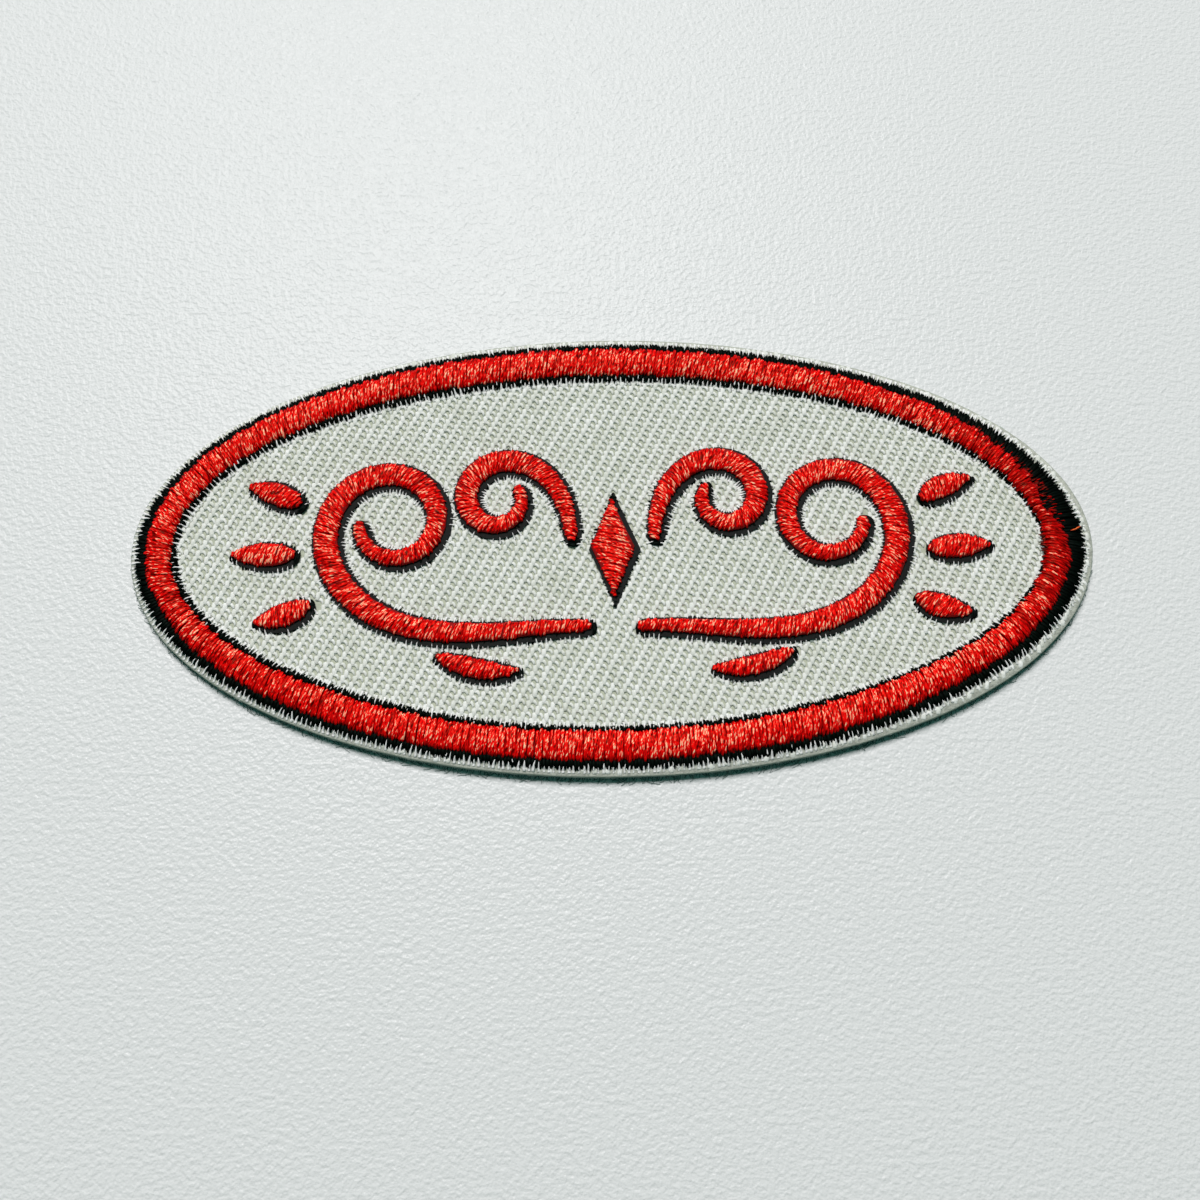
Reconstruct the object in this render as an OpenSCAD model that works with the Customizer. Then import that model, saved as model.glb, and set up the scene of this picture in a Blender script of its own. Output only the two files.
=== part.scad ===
// Oval embroidered patch: a cut twill oval with a raised red satin border between two
// black satin lines, and a mirrored pair of red satin scrolls with black shadows.
// It lies face up. X runs along the oval, Y towards its top, Z out of the face.

/* [Cloth] */
// Length of the patch along X
patch_l = 89; // [78:0.5:100]
// Height of the patch along Y
patch_w = 42.5; // [38:0.5:48]
// Thickness of the twill with its backing
cloth_t = 1; // [0.8:0.1:1.6]
// Bare cloth outside the border, at the two ends
rim_end_w = 0.6; // [0.4:0.05:1.5]
// Bare cloth outside the border, along the long sides
rim_side_w = 0.5; // [0.4:0.05:1.2]

/* [Border] */
// Width of the outer black line at the two ends
outer_line_end_w = 1.25; // [0.8:0.05:2]
// Width of the outer black line along the long sides
outer_line_side_w = 0.65; // [0.5:0.05:1.5]
// Width of the red band at the two ends
band_end_w = 2.3; // [1.6:0.1:3.5]
// Width of the red band along the long sides
band_side_w = 2.75; // [1.6:0.05:3.5]
// Width of the inner black line at the two ends
inner_line_end_w = 0.45; // [0.35:0.05:1.2]
// Width of the inner black line along the long sides
inner_line_side_w = 0.55; // [0.35:0.05:1.2]
// Height of the black lines over the cloth
line_t = 0.35; // [0.2:0.05:0.5]
// Height of the red band over the cloth
band_t = 0.8; // [0.6:0.05:1.2]
// How far to the left of the cloth's middle the border was sewn
line_drift = 0.2; // [0:0.05:0.3]
// How far to the left of the black lines the red band was sewn
band_drift = 0.25; // [0:0.05:0.3]
// How far below the middle the bare field was left
field_drop = 0.2; // [0:0.05:0.4]
// Clear space between two neighbouring satin columns
satin_gap = 0.06; // [0.03:0.01:0.15]

/* [Ornament] */
// Space between the border and the line of the outermost leaf, at the two ends
ornament_end_gap = 4.8; // [3:0.2:8]
// Space between the border and the line of the lowest sprig, along the long sides
ornament_side_gap = 5.4; // [4.6:0.2:8]
// Widest part of a red stroke
stroke_w = 2.4; // [1.6:0.1:2.5]
// Height of the red strokes over their shadow
stroke_t = 0.5; // [0.3:0.05:0.8]
// Height of the black shadow over the cloth
shadow_t = 0.25; // [0.15:0.05:0.4]
// How far the shadow shows all round a stroke
shadow_edge_w = 0.33; // [0.2:0.01:0.4]
// How far the shadow is moved to the lower right
shadow_move = 0.18; // [0:0.01:0.3]
// Width of the lozenge in the middle
lozenge_w = 4.2; // [3:0.1:5]
// Height of the lozenge in the middle
lozenge_h = 9.6; // [6:0.2:11]
// Width of the lozenge's blunt tips
lozenge_tip_w = 0.12; // [0.04:0.02:0.4]

/* [Hidden] */

CLOTH_COLOR = [0.80, 0.81, 0.78];
RED = [0.80, 0.15, 0.12];
BLACK = [0.04, 0.05, 0.05];

OVAL_STEPS = 120;
RING_STEPS = 96;

// Half sizes of the ovals, from the cut edge inwards
cloth_half = [patch_l, patch_w] / 2;
outer_line_half = cloth_half - [rim_end_w, rim_side_w];
band_half = outer_line_half - [outer_line_end_w, outer_line_side_w];
inner_line_half = band_half - [band_end_w, band_side_w];
field_half = inner_line_half - [inner_line_end_w, inner_line_side_w];

// Centres of the same ovals
outer_line_mid = [-line_drift, 0];
band_mid = outer_line_mid - [band_drift, 0];
inner_line_mid = band_mid - [0, field_drop];
field_mid = outer_line_mid - [0, field_drop];

// Across a satin column: place as a share of its width, height as a share of its rise
DOME = [[0, 0], [0, 0.42], [0.2, 0.86], [0.5, 1], [0.8, 0.86], [1, 0.42], [1, 0]];

// The table of strokes is drawn in a field 1 long and ORNAMENT_RATIO high, from its middle
ORNAMENT_RATIO = 0.325;
ornament_half = field_half - [ornament_end_gap, ornament_side_gap];
ornament_scale = [ornament_half[0], ornament_half[1] / ORNAMENT_RATIO];

// Each stroke: start x and y, heading, length, turn rate at its start and at its end in
// degrees over the whole length, and width at start, middle and end as shares of stroke_w
VINE = [0.062, -0.215, 2, 1.630, -120, 1025, 0.45, 1.00, 0.50];
CREST = [0.110, 0.020, 88, 0.760, -80, -720, 0.45, 0.95, 0.42];
UPPER_LEAF = [0.826, 0.128, 32, 0.150, -20, -20, 0.45, 0.95, 0.16];
MIDDLE_LEAF = [0.835, -0.012, 2, 0.165, 0, 0, 0.45, 1.00, 0.16];
LOWER_LEAF = [0.790, -0.145, -30, 0.150, 25, 25, 0.45, 0.95, 0.16];
SPRIG = [0.250, -0.330, -6, 0.215, 38, 28, 0.16, 0.80, 0.30];
VINE_STEPS = 56;
CREST_STEPS = 40;
LEAF_STEPS = 14;
LOZENGE_STEPS = 12;

// The columns of the table of strokes
function start_at(s) = [s[0], s[1]];
function first_heading(s) = s[2];
function run(s) = s[3];
function turn_rates(s) = [s[4], s[5]];
function width_shares(s) = [s[6], s[7], s[8]];

function oval(half, mid, turn) = mid + [half[0] * cos(turn), half[1] * sin(turn)];

// A shell of quads from rows of points; the rows close on themselves, and so does the
// list of rows when ring is true, or else its two ends are capped
module shell(rows, ring) {
    n = len(rows);
    m = len(rows[0]);
    last = ring ? n - 1 : n - 2;
    walls = [
        for (i = [0 : last])
            for (j = [0 : m - 1])
                let (a = i * m, b = ((i + 1) % n) * m, k = (j + 1) % m)
                    each [[a + j, a + k, b + k], [a + j, b + k, b + j]]
    ];
    start_cap = [for (j = [1 : m - 2]) [0, j + 1, j]];
    end_cap = [for (j = [1 : m - 2]) let (e = (n - 1) * m) [e, e + j, e + j + 1]];
    faces = ring ? walls : concat(walls, start_cap, end_cap);
    polyhedron([for (r = rows) each r], faces, convexity = 8);
}

// A domed satin column that runs round the patch between two ovals
module satin_ring(out_half, out_mid, in_half, in_mid, rise) {
    rows = [
        for (i = [0 : RING_STEPS - 1])
            let (
                turn = 360 * i / RING_STEPS,
                outer = oval(out_half, out_mid, turn),
                inner = oval(in_half, in_mid, turn),
                inwards = (inner - outer) / norm(inner - outer),
                start = outer + inwards * satin_gap / 2,
                span = inner - outer - inwards * satin_gap
            )
            [for (d = DOME) let (p = start + span * d[0]) [p[0], p[1], cloth_t + rise * d[1]]]
    ];
    shell(rows, true);
}

// The line of a stroke, reached from its start by short straight steps
function heading(s, t) =
    let (rates = turn_rates(s))
    first_heading(s) + rates[0] * t + (rates[1] - rates[0]) * t * t / 2;
function ahead(s, t) = [cos(heading(s, t)), sin(heading(s, t))];
function station(i, n, extra) = -extra + (1 + 2 * extra) * (1 - cos(180 * i / n)) / 2;
function walk(s, n, extra) = [
    for (
        i = 0, p = start_at(s) - ahead(s, 0) * extra * run(s);
        i <= n;
        p = p + ahead(s, (station(i, n, extra) + station(i + 1, n, extra)) / 2)
            * (station(i + 1, n, extra) - station(i, n, extra)) * run(s),
        i = i + 1
    )
    [p[0] * ornament_scale[0], p[1] * ornament_scale[1]]
];

// Width at a share t of the length: a smooth swell through the three widths of the row
function swell(s, t) =
    let (w = stroke_w * width_shares(s))
    w[0] * (1 - t) * (1 - 2 * t) + w[1] * 4 * t * (1 - t) + w[2] * t * (2 * t - 1);
// Half width there, rounded off at both ends and grown by grow all round
function half_w(s, t, extra, grow) =
    let (
        near = min(t, 1 - t) + extra,
        w = swell(s, min(max(t, 0), 1)) / 2 + grow,
        reach = min(1, near * run(s) * ornament_scale[0] / w)
    )
    w * sqrt(max(0.004, 1 - (1 - reach) * (1 - reach)));
function across(line, i) =
    let (d = line[min(i + 1, len(line) - 1)] - line[max(i - 1, 0)])
    [-d[1], d[0]] / norm(d);

// The two sides of a stroke in plan, as pairs of points
function sides(s, n, grow) =
    let (extra = grow / (run(s) * ornament_scale[0]), line = walk(s, n, extra))
    [
        for (i = [0 : n])
            let (w = half_w(s, station(i, n, extra), extra, grow) * across(line, i))
            [line[i] - w, line[i] + w]
    ];

// A domed red satin column between pairs of points, standing on its shadow
module satin_column(pairs) {
    rows = [
        for (pair = pairs)
            let (span = pair[1] - pair[0], rise = stroke_t * min(1, 0.35 + norm(span) / stroke_w))
            [
                for (d = DOME)
                    let (p = pair[0] + span * d[0])
                    [p[0], p[1], cloth_t + shadow_t + rise * d[1]]
            ]
    ];
    shell(rows, false);
}

// The right side as it is, or turned over to the left
module on_side(mirrored) {
    if (mirrored) mirror([1, 0, 0]) children();
    else children();
}

module stroke(s, n, mirrored = false) {
    color(RED)
        translate([field_mid[0], field_mid[1], 0])
            on_side(mirrored) satin_column(sides(s, n, 0));
}

// The flat black shadow of one stroke in plan
module shadow_plan(s, n) {
    pairs = sides(s, n, shadow_edge_w);
    right_side = [for (i = [0 : n]) pairs[i][0]];
    left_side = [for (i = [n : -1 : 0]) pairs[i][1]];
    polygon(concat(right_side, left_side));
}

module side_shadow(mirrored = false) {
    color(BLACK)
        translate([field_mid[0] + shadow_move, field_mid[1] - shadow_move, cloth_t])
            linear_extrude(shadow_t)
                on_side(mirrored) {
                    shadow_plan(VINE, VINE_STEPS);
                    shadow_plan(CREST, CREST_STEPS);
                    for (s = [UPPER_LEAF, MIDDLE_LEAF, LOWER_LEAF, SPRIG])
                        shadow_plan(s, LEAF_STEPS);
                }
}

// Ground cloth
module ground_cloth() {
    color(CLOTH_COLOR)
        linear_extrude(cloth_t)
            polygon([for (i = [0 : OVAL_STEPS - 1]) oval(cloth_half, [0, 0], 360 * i / OVAL_STEPS)]);
}

// Outer black satin line of the border
module outer_edging() {
    color(BLACK) satin_ring(outer_line_half, outer_line_mid, band_half, band_mid, line_t);
}

// Raised red satin band of the border
module red_band() {
    color(RED) satin_ring(band_half, band_mid, inner_line_half, inner_line_mid, band_t);
}

// Inner black satin line of the border
module inner_edging() {
    color(BLACK) satin_ring(inner_line_half, inner_line_mid, field_half, field_mid, line_t);
}

// Small red satin lozenge in the middle of the field
module lozenge() {
    pairs = [
        for (i = [0 : LOZENGE_STEPS])
            let (
                y = lozenge_h * (0.5 - i / LOZENGE_STEPS),
                w = max(lozenge_w * (0.5 - abs(y) / lozenge_h), lozenge_tip_w / 2)
            )
            [[-w, y], [w, y]]
    ];
    color(RED) translate([field_mid[0], field_mid[1], 0]) satin_column(pairs);
}

// Black shadow under the lozenge, its four sides moved out by shadow_edge_w
module lozenge_shadow() {
    half = [lozenge_w, lozenge_h] / 2;
    tip = half + shadow_edge_w * norm(half) * [1 / half[1], 1 / half[0]];
    color(BLACK)
        translate([field_mid[0] + shadow_move, field_mid[1] - shadow_move, cloth_t])
            linear_extrude(shadow_t)
                polygon([[tip[0], 0], [0, tip[1]], [-tip[0], 0], [0, -tip[1]]]);
}

// The ornament's strokes and shadows, right and left
module right_vine() stroke(VINE, VINE_STEPS);
module right_crest() stroke(CREST, CREST_STEPS);
module right_upper_leaf() stroke(UPPER_LEAF, LEAF_STEPS);
module right_middle_leaf() stroke(MIDDLE_LEAF, LEAF_STEPS);
module right_lower_leaf() stroke(LOWER_LEAF, LEAF_STEPS);
module right_sprig() stroke(SPRIG, LEAF_STEPS);
module right_shadow() side_shadow();
module left_vine() stroke(VINE, VINE_STEPS, true);
module left_crest() stroke(CREST, CREST_STEPS, true);
module left_upper_leaf() stroke(UPPER_LEAF, LEAF_STEPS, true);
module left_middle_leaf() stroke(MIDDLE_LEAF, LEAF_STEPS, true);
module left_lower_leaf() stroke(LOWER_LEAF, LEAF_STEPS, true);
module left_sprig() stroke(SPRIG, LEAF_STEPS, true);
module left_shadow() side_shadow(true);

ground_cloth();
outer_edging();
red_band();
inner_edging();
lozenge();
lozenge_shadow();
right_vine();
right_crest();
right_upper_leaf();
right_middle_leaf();
right_lower_leaf();
right_sprig();
right_shadow();
left_vine();
left_crest();
left_upper_leaf();
left_middle_leaf();
left_lower_leaf();
left_sprig();
left_shadow();
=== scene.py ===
"""Oval embroidered patch: twill oval, satin stitched border and a mirrored pair of satin scrolls.

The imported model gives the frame. Each class below holds the sizes of one sub-assembly in
millimetres, builds its meshes and dresses them. Stitches, weave and loose fibres are modelled
once as a strand or a float, and copied from arrays into one mesh per sub-assembly.
"""

from __future__ import annotations

import logging
import math
from dataclasses import dataclass
from enum import Enum
from typing import Any, Sequence

import bpy
import numpy as np
from mathutils import Matrix, Vector

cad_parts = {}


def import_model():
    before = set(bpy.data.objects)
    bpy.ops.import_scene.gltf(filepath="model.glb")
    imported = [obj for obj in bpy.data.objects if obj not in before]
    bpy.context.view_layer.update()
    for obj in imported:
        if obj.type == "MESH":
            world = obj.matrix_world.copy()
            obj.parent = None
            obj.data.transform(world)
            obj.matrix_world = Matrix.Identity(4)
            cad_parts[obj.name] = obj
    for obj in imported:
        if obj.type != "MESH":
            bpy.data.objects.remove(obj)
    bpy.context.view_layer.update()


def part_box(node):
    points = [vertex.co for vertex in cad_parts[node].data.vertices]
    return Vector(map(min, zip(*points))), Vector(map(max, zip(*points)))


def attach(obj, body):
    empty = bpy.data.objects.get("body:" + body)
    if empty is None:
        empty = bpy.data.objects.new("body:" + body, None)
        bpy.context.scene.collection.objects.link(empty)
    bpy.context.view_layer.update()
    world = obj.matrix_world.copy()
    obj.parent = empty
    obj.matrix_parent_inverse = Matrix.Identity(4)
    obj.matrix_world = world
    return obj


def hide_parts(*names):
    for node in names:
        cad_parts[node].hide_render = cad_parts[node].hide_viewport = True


LOG = logging.getLogger("patch")
MM = 0.001
TONE = "tone"
END_GAP = "end_gap"
UV_NAME = "strand_uv"

Array = np.ndarray
Piece = bpy.types.Object
Material = bpy.types.Material
Socket = bpy.types.NodeSocket
Colour = tuple[float, float, float, float]
# A range, and the range that it is moved to
Ramp = tuple[float, float, float, float]
# Less than any length that is measured
TINY = 1e-9
# Powers that shape a satin stitch's arch and a strand's fine end
ARCH_POWER = 0.45
TAPER_POWER = 0.7

# The border and the ornament, as the solids have them
SATIN_GAP = 0.06
CLOTH_TOP = 1.0
LINE_RISE = 0.35
BAND_RISE = 0.8
# How far an underlay stays under its stitches
UNDERLAY_DROP = 0.12
INNER_LINE_WIDTHS = (0.45, 0.55)
FIELD_MID = (-0.2, -0.2)
ORNAMENT_GAPS = (4.8, 5.4)
ORNAMENT_RATIO = 0.325
STROKE_WIDTH = 2.4
STROKE_RISE = 0.5
# Least of the squared share of its width that a stroke keeps at its tips
TIP_FLOOR = 0.004
SHADOW_RISE = 0.25
SHADOW_EDGE = 0.33
SHADOW_MOVE = 0.18
LOZENGE_SIZE = (4.2, 9.6)
LOZENGE_TIP = 0.12


class Side(Enum):
    """The half of the ornament that a stroke belongs to, and its sign along X."""

    RIGHT = 1
    LEFT = -1


class Ends(Enum):
    """How a strand ends."""

    TUCKED = "both ends go down a needle hole"
    FRAYED = "thick at its root and fine at its tip"


# Node trees


class Recipe:
    """A material's nodes, added one at a time."""

    def __init__(self, name: str) -> None:
        """Starts a material.

        Args:
            name: The material's name.
        """
        self.material = bpy.data.materials.new(name)
        self.material.use_nodes = True
        self.tree = self.material.node_tree
        self.surface = self.tree.nodes["Principled BSDF"]

    def feed(self, socket: Socket, value: Any) -> None:
        """Links a socket's output to an input, or sets the input to a constant."""
        if isinstance(value, Socket):
            self.tree.links.new(value, socket)
        else:
            socket.default_value = value

    def add(self, kind: str, feeds: dict[Any, Any] | None = None, **settings: Any) -> bpy.types.Node:
        """Adds a node.

        Args:
            kind: The node's type.
            feeds: What goes into each named or numbered input.
            settings: Properties of the node itself.

        Returns:
            The node.
        """
        node = self.tree.nodes.new(kind)
        for name, value in settings.items():
            setattr(node, name, value)
        for name, value in (feeds or {}).items():
            self.feed(node.inputs[name], value)
        return node

    def math(self, operation: str, a: Any, b: Any = 0.0) -> Socket:
        """The result of a Math node on two values."""
        return self.add("ShaderNodeMath", {0: a, 1: b}, operation=operation).outputs[0]

    def plus(self, a: Any, b: Any) -> Socket:
        """The sum of two values."""
        return self.math("ADD", a, b)

    def times(self, first: Any, *others: Any) -> Socket:
        """The product of values."""
        for value in others:
            first = self.math("MULTIPLY", first, value)
        return first

    def blend(self, share: Any, low: Any, high: Any) -> Socket:
        """A colour between two colours."""
        return self.add("ShaderNodeMix", {0: share, 6: low, 7: high}, data_type="RGBA").outputs[2]

    def tinted(self, share: Any, colour: Colour) -> Socket:
        """A colour, darkened to a share of its light."""
        return self.blend(share, shade(0, 0, 0), colour)

    def remap(self, value: Any, low: Any, high: Any, to_low: Any = 0.0, to_high: Any = 1.0) -> Socket:
        """A value's range moved to another range, and clamped to it."""
        feeds = {0: value, 1: low, 2: high, 3: to_low, 4: to_high}
        return self.add("ShaderNodeMapRange", feeds).outputs[0]

    def split(self, vector: Any) -> Sequence[Socket]:
        """The X, the Y and the Z of a vector."""
        return self.add("ShaderNodeSeparateXYZ", {0: vector}).outputs

    def place_mm(self, stretch: Sequence[float] = (1, 1, 1), turn: float = 0.0) -> Socket:
        """Object coordinates in millimetres, stretched and turned about Z."""
        place = self.add("ShaderNodeTexCoord").outputs["Object"]
        feeds = {"Vector": place, "Scale": [s / MM for s in stretch], "Rotation": (0, 0, turn)}
        return self.add("ShaderNodeMapping", feeds).outputs[0]

    def noise(self, place: Any, scale: float, detail: float = 2.0, rough: float = 0.5) -> Socket:
        """Noise from 0 to 1 at a place."""
        feeds = {"Vector": place, "Scale": scale, "Detail": detail, "Roughness": rough}
        return self.add("ShaderNodeTexNoise", feeds).outputs[0]

    def own(self, name: str) -> Socket:
        """One of the mesh's own attributes, as a value."""
        return self.add("ShaderNodeAttribute", attribute_name=name).outputs["Fac"]

    def bump(self, height: Any, depth: float) -> Socket:
        """A normal from a height of 0 to 1 that stands for depth millimetres."""
        feeds = {"Height": height, "Distance": depth * MM, "Strength": 1.0}
        return self.add("ShaderNodeBump", feeds).outputs[0]

    def finish(self, **feeds: Any) -> Material:
        """Feeds the surface shader, where an underscore in a name stands for a space."""
        for name, value in feeds.items():
            self.feed(self.surface.inputs[name.replace("_", " ")], value)
        return self.material


def shade(red: float, green: float, blue: float) -> Colour:
    """A colour for a shader socket."""
    return (red, green, blue, 1.0)


@dataclass(frozen=True)
class ThreadFinish:
    """Two-ply embroidery thread whose fibres glint in short dashes.

    Colours are linear, and lengths are in millimetres. A ramp takes a measured value to a share.
    Its glint colour is a painted highlight. Its groove colour, and the darkening near its ends, on its sides
    and between fine fibres, are painted shade.
    """

    name: str
    # Painted shade in the grooves, the lit colour, the painted glint, and the tint of the shader's own
    # highlight
    groove_shade: Colour
    lit: Colour
    glint: Colour
    gloss: Colour
    roughness: float
    specular: float
    # Length of one turn of the ply, and how far apart the tones start in the noise
    lay: float = 5.0
    tone_shift: float = 40.0
    # Fibres in dashes, hairs and fine splits: how fine they are round the strand, and how long
    dash: tuple[float, float] = (1.7, 0.42)
    hair: tuple[float, float] = (3.0, 1.68)
    fine: tuple[float, float] = (4.5, 0.30)
    # Shares of the hairs and of the ply in the relief, its depth, and the heights over which painted shade in
    # its low parts turns to full light
    hair_relief: float = 0.14
    ply_relief: float = 0.22
    depth: float = 0.06
    relief: tuple[float, float] = (0.49, 0.91)
    # Painted shade near the strand's ends; painted shade on its sides up to a painted highlight on its crown;
    # brightness in broad patches; painted shade between fine fibres
    end_light: Ramp = (0.0, 0.40, 0.25, 1.0)
    crown_light: Ramp = (0.45, 0.90, 0.5, 1.1)
    patch_scale: float = 0.3
    patch_light: Ramp = (0.3, 0.7, 0.86, 1.1)
    fine_light: Ramp = (0.36, 0.48, 0.58, 1.0)
    # By tone, which painted shade lowers where the band is dimmed: the light, the light at which the colour
    # is full, and the glints
    tone_light: Ramp = (-0.8, 0.4, 0.62, 1.0)
    tone_full: Ramp = (-0.8, 0.2, 1.25, 0.50)
    tone_glint: Ramp = (-0.8, 0.1, 0.2, 1.0)
    # Light at which a fibre begins its painted glint and glints fully, and how fine fibres split the glint
    glint_light: tuple[float, float] = (0.75, 0.86)
    fine_glint: Ramp = (0.44, 0.58, 0.06, 1.0)

    def material(self) -> Material:
        """Builds the material on the strands' own UV map and attributes."""
        recipe = Recipe(self.name)
        uv = recipe.split(recipe.add("ShaderNodeUVMap", uv_map=UV_NAME).outputs[0])
        around, along, tone = uv[0], uv[1], recipe.own(TONE)
        wound = recipe.math("SUBTRACT", around, recipe.math("DIVIDE", along, self.lay))
        turn, shift = recipe.times(wound, 2 * math.pi), recipe.times(tone, self.tone_shift)
        place = recipe.math("COSINE", turn), recipe.math("SINE", turn), along, shift
        sizes = self.dash, self.hair, self.fine
        dashes, hairs, fine = (self.fibres(recipe, place, *size) for size in sizes)
        ply = recipe.math("ABSOLUTE", recipe.math("SINE", recipe.plus(turn, shift)))
        height = recipe.plus(dashes, recipe.times(hairs, self.hair_relief))
        height = recipe.plus(height, recipe.times(ply, self.ply_relief))
        upright = recipe.math("SINE", recipe.times(around, 2 * math.pi))
        patches = recipe.noise(recipe.place_mm(), self.patch_scale)
        # Painted light and shade: darker in low relief, near the ends, on the sides and between fine fibres,
        # lighter on the crown
        light = recipe.times(
            recipe.remap(height, *self.relief),
            recipe.remap(recipe.own(END_GAP), *self.end_light),
            recipe.times(recipe.remap(patches, *self.patch_light), recipe.remap(upright, *self.crown_light)),
            recipe.remap(tone, *self.tone_light),
            recipe.remap(fine, *self.fine_light),
        )
        full = recipe.remap(light, 0.0, recipe.remap(tone, *self.tone_full))
        most = recipe.times(recipe.remap(tone, *self.tone_glint), recipe.remap(fine, *self.fine_glint))
        # Painted glints on the brightest fibres
        glint = recipe.remap(light, *self.glint_light, 0.0, most)
        return recipe.finish(
            Base_Color=recipe.blend(glint, recipe.blend(full, self.groove_shade, self.lit), self.glint),
            Normal=recipe.bump(height, self.depth),
            Roughness=self.roughness,
            Specular_IOR_Level=self.specular,
            Specular_Tint=self.gloss,
            Anisotropic=0.4,
            Tangent=recipe.add("ShaderNodeTangent", direction_type="UV_MAP", uv_map=UV_NAME).outputs[0],
        )

    def fibres(self, recipe: Recipe, place: Sequence[Socket], girth: float, length: float) -> Socket:
        """Noise drawn out along the strand and closed round it.

        Args:
            recipe: The material.
            place: Cosine and sine of the turn round the strand, millimetres along it, and its own shift.
            girth: How fine the noise is round the strand.
            length: Length of its features.

        Returns:
            Values of about 0.2 to 0.8.
        """
        cos, sin, along, shift = place
        ahead = recipe.plus(recipe.math("DIVIDE", along, length), shift)
        feeds = {0: recipe.times(cos, girth), 1: recipe.times(sin, girth), 2: ahead}
        return recipe.noise(recipe.add("ShaderNodeCombineXYZ", feeds).outputs[0], 1.0, detail=1.0)


@dataclass(frozen=True)
class UnderlayFinish:
    """The flat stitches under a satin column, seen only between its threads, coloured darker than the thread
    as painted shade.
    """

    name: str
    low: Colour
    high: Colour

    def material(self) -> Material:
        """Builds the material from fine streaks on Object coordinates."""
        recipe = Recipe(self.name)
        streaks = recipe.noise(recipe.place_mm((3.0, 1.0, 1.0), 0.6), 2.4, detail=3.0)
        return recipe.finish(
            Base_Color=recipe.blend(streaks, self.low, self.high),
            Normal=recipe.bump(streaks, 0.06),
            Roughness=0.7,
            Specular_IOR_Level=0.2,
        )


@dataclass(frozen=True)
class YarnFinish:
    """Soft matt cotton yarn of the twill, mottled by fine fibres and by broad blotches."""

    name: str
    low: Colour
    high: Colour
    bump: float = 0.03
    fibre_scale: float = 7.0
    blotch_scale: float = 0.5
    fibre_share: float = 0.6
    tone_share: float = 0.12
    contrast: tuple[float, float] = (0.3, 0.7)

    def material(self) -> Material:
        """Builds the material from fibres and soft blotches on Object coordinates."""
        recipe = Recipe(self.name)
        place = recipe.place_mm()
        fibres = recipe.noise(place, self.fibre_scale, detail=4.0, rough=0.65)
        blotches = recipe.noise(place, self.blotch_scale)
        fine, broad = self.fibre_share, 1 - self.fibre_share
        share = recipe.plus(recipe.times(fibres, fine), recipe.times(blotches, broad))
        tone = recipe.remap(recipe.own(TONE), 0.0, 1.0, -self.tone_share, self.tone_share)
        share = recipe.remap(recipe.plus(share, tone), *self.contrast)
        return recipe.finish(
            Base_Color=recipe.blend(share, self.low, self.high),
            Normal=recipe.bump(fibres, self.bump),
            Roughness=0.85,
            Specular_IOR_Level=0.25,
            Sheen_Weight=0.25,
            Sheen_Roughness=0.5,
        )


@dataclass(frozen=True)
class ClothFinish:
    """The cloth's body: painted shade in the weave's recesses, a mottled rim, a layered cut edge coloured
    dark teal as painted shade, and a sealed back.
    """

    name: str = "cloth_body"
    # The recess colour is painted shade under the floats, and the edge colour is painted shade on the cut
    # wall
    recess_shade: Colour = shade(0.43, 0.45, 0.35)
    rim: Colour = shade(0.56, 0.57, 0.49)
    edge: Colour = shade(0.12, 0.23, 0.20)
    back: Colour = shade(0.70, 0.71, 0.69)
    # The edge's layers: how thick they are, and the light from their seams to their middles
    layer: float = 0.16
    layer_light: tuple[float, float] = (0.75, 1.05)
    # The edge's light at the least and at the most grain
    grain_light: tuple[float, float] = (0.72, 1.28)
    mottle: Ramp = (0.80, 1.20, 0.62, 1.0)
    # Heights from the recessed weave to the rim, and how upright a face is from side to top and to back
    rim_heights: tuple[float, float] = (0.91, 0.93)
    top_facing: tuple[float, float] = (0.5, 0.8)
    back_facing: Ramp = (-0.8, -0.5, 1.0, 0.0)

    def material(self) -> Material:
        """Builds the material from height and normal on Object coordinates."""
        recipe = Recipe(self.name)
        place = recipe.place_mm()
        height = recipe.split(place)[2]
        up = recipe.split(recipe.add("ShaderNodeNewGeometry").outputs["True Normal"])[2]
        fibres = recipe.noise(place, 6.0, detail=4.0, rough=0.6)
        grain = recipe.noise(recipe.place_mm((1.0, 1.0, 4.0)), 3.0, detail=3.0)
        relief = recipe.plus(fibres, grain)
        least, most = self.grain_light
        tint = recipe.plus(least, recipe.times(grain, most - least))
        within = recipe.math("PINGPONG", height, self.layer)
        layered = recipe.remap(within, 0.0, self.layer, *self.layer_light)
        # The cut wall's painted shade, parted into layers and grain
        edge = recipe.tinted(recipe.times(tint, layered), self.edge)
        rim = recipe.tinted(recipe.remap(relief, *self.mottle), self.rim)
        # Painted shade below the rim's height, where the weave is recessed
        face = recipe.blend(recipe.remap(height, *self.rim_heights), self.recess_shade, rim)
        side = recipe.blend(recipe.remap(up, *self.top_facing), edge, face)
        return recipe.finish(
            Base_Color=recipe.blend(recipe.remap(up, *self.back_facing), side, self.back),
            Normal=recipe.bump(relief, 0.05),
            Roughness=0.8,
            Specular_IOR_Level=0.25,
        )


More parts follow.
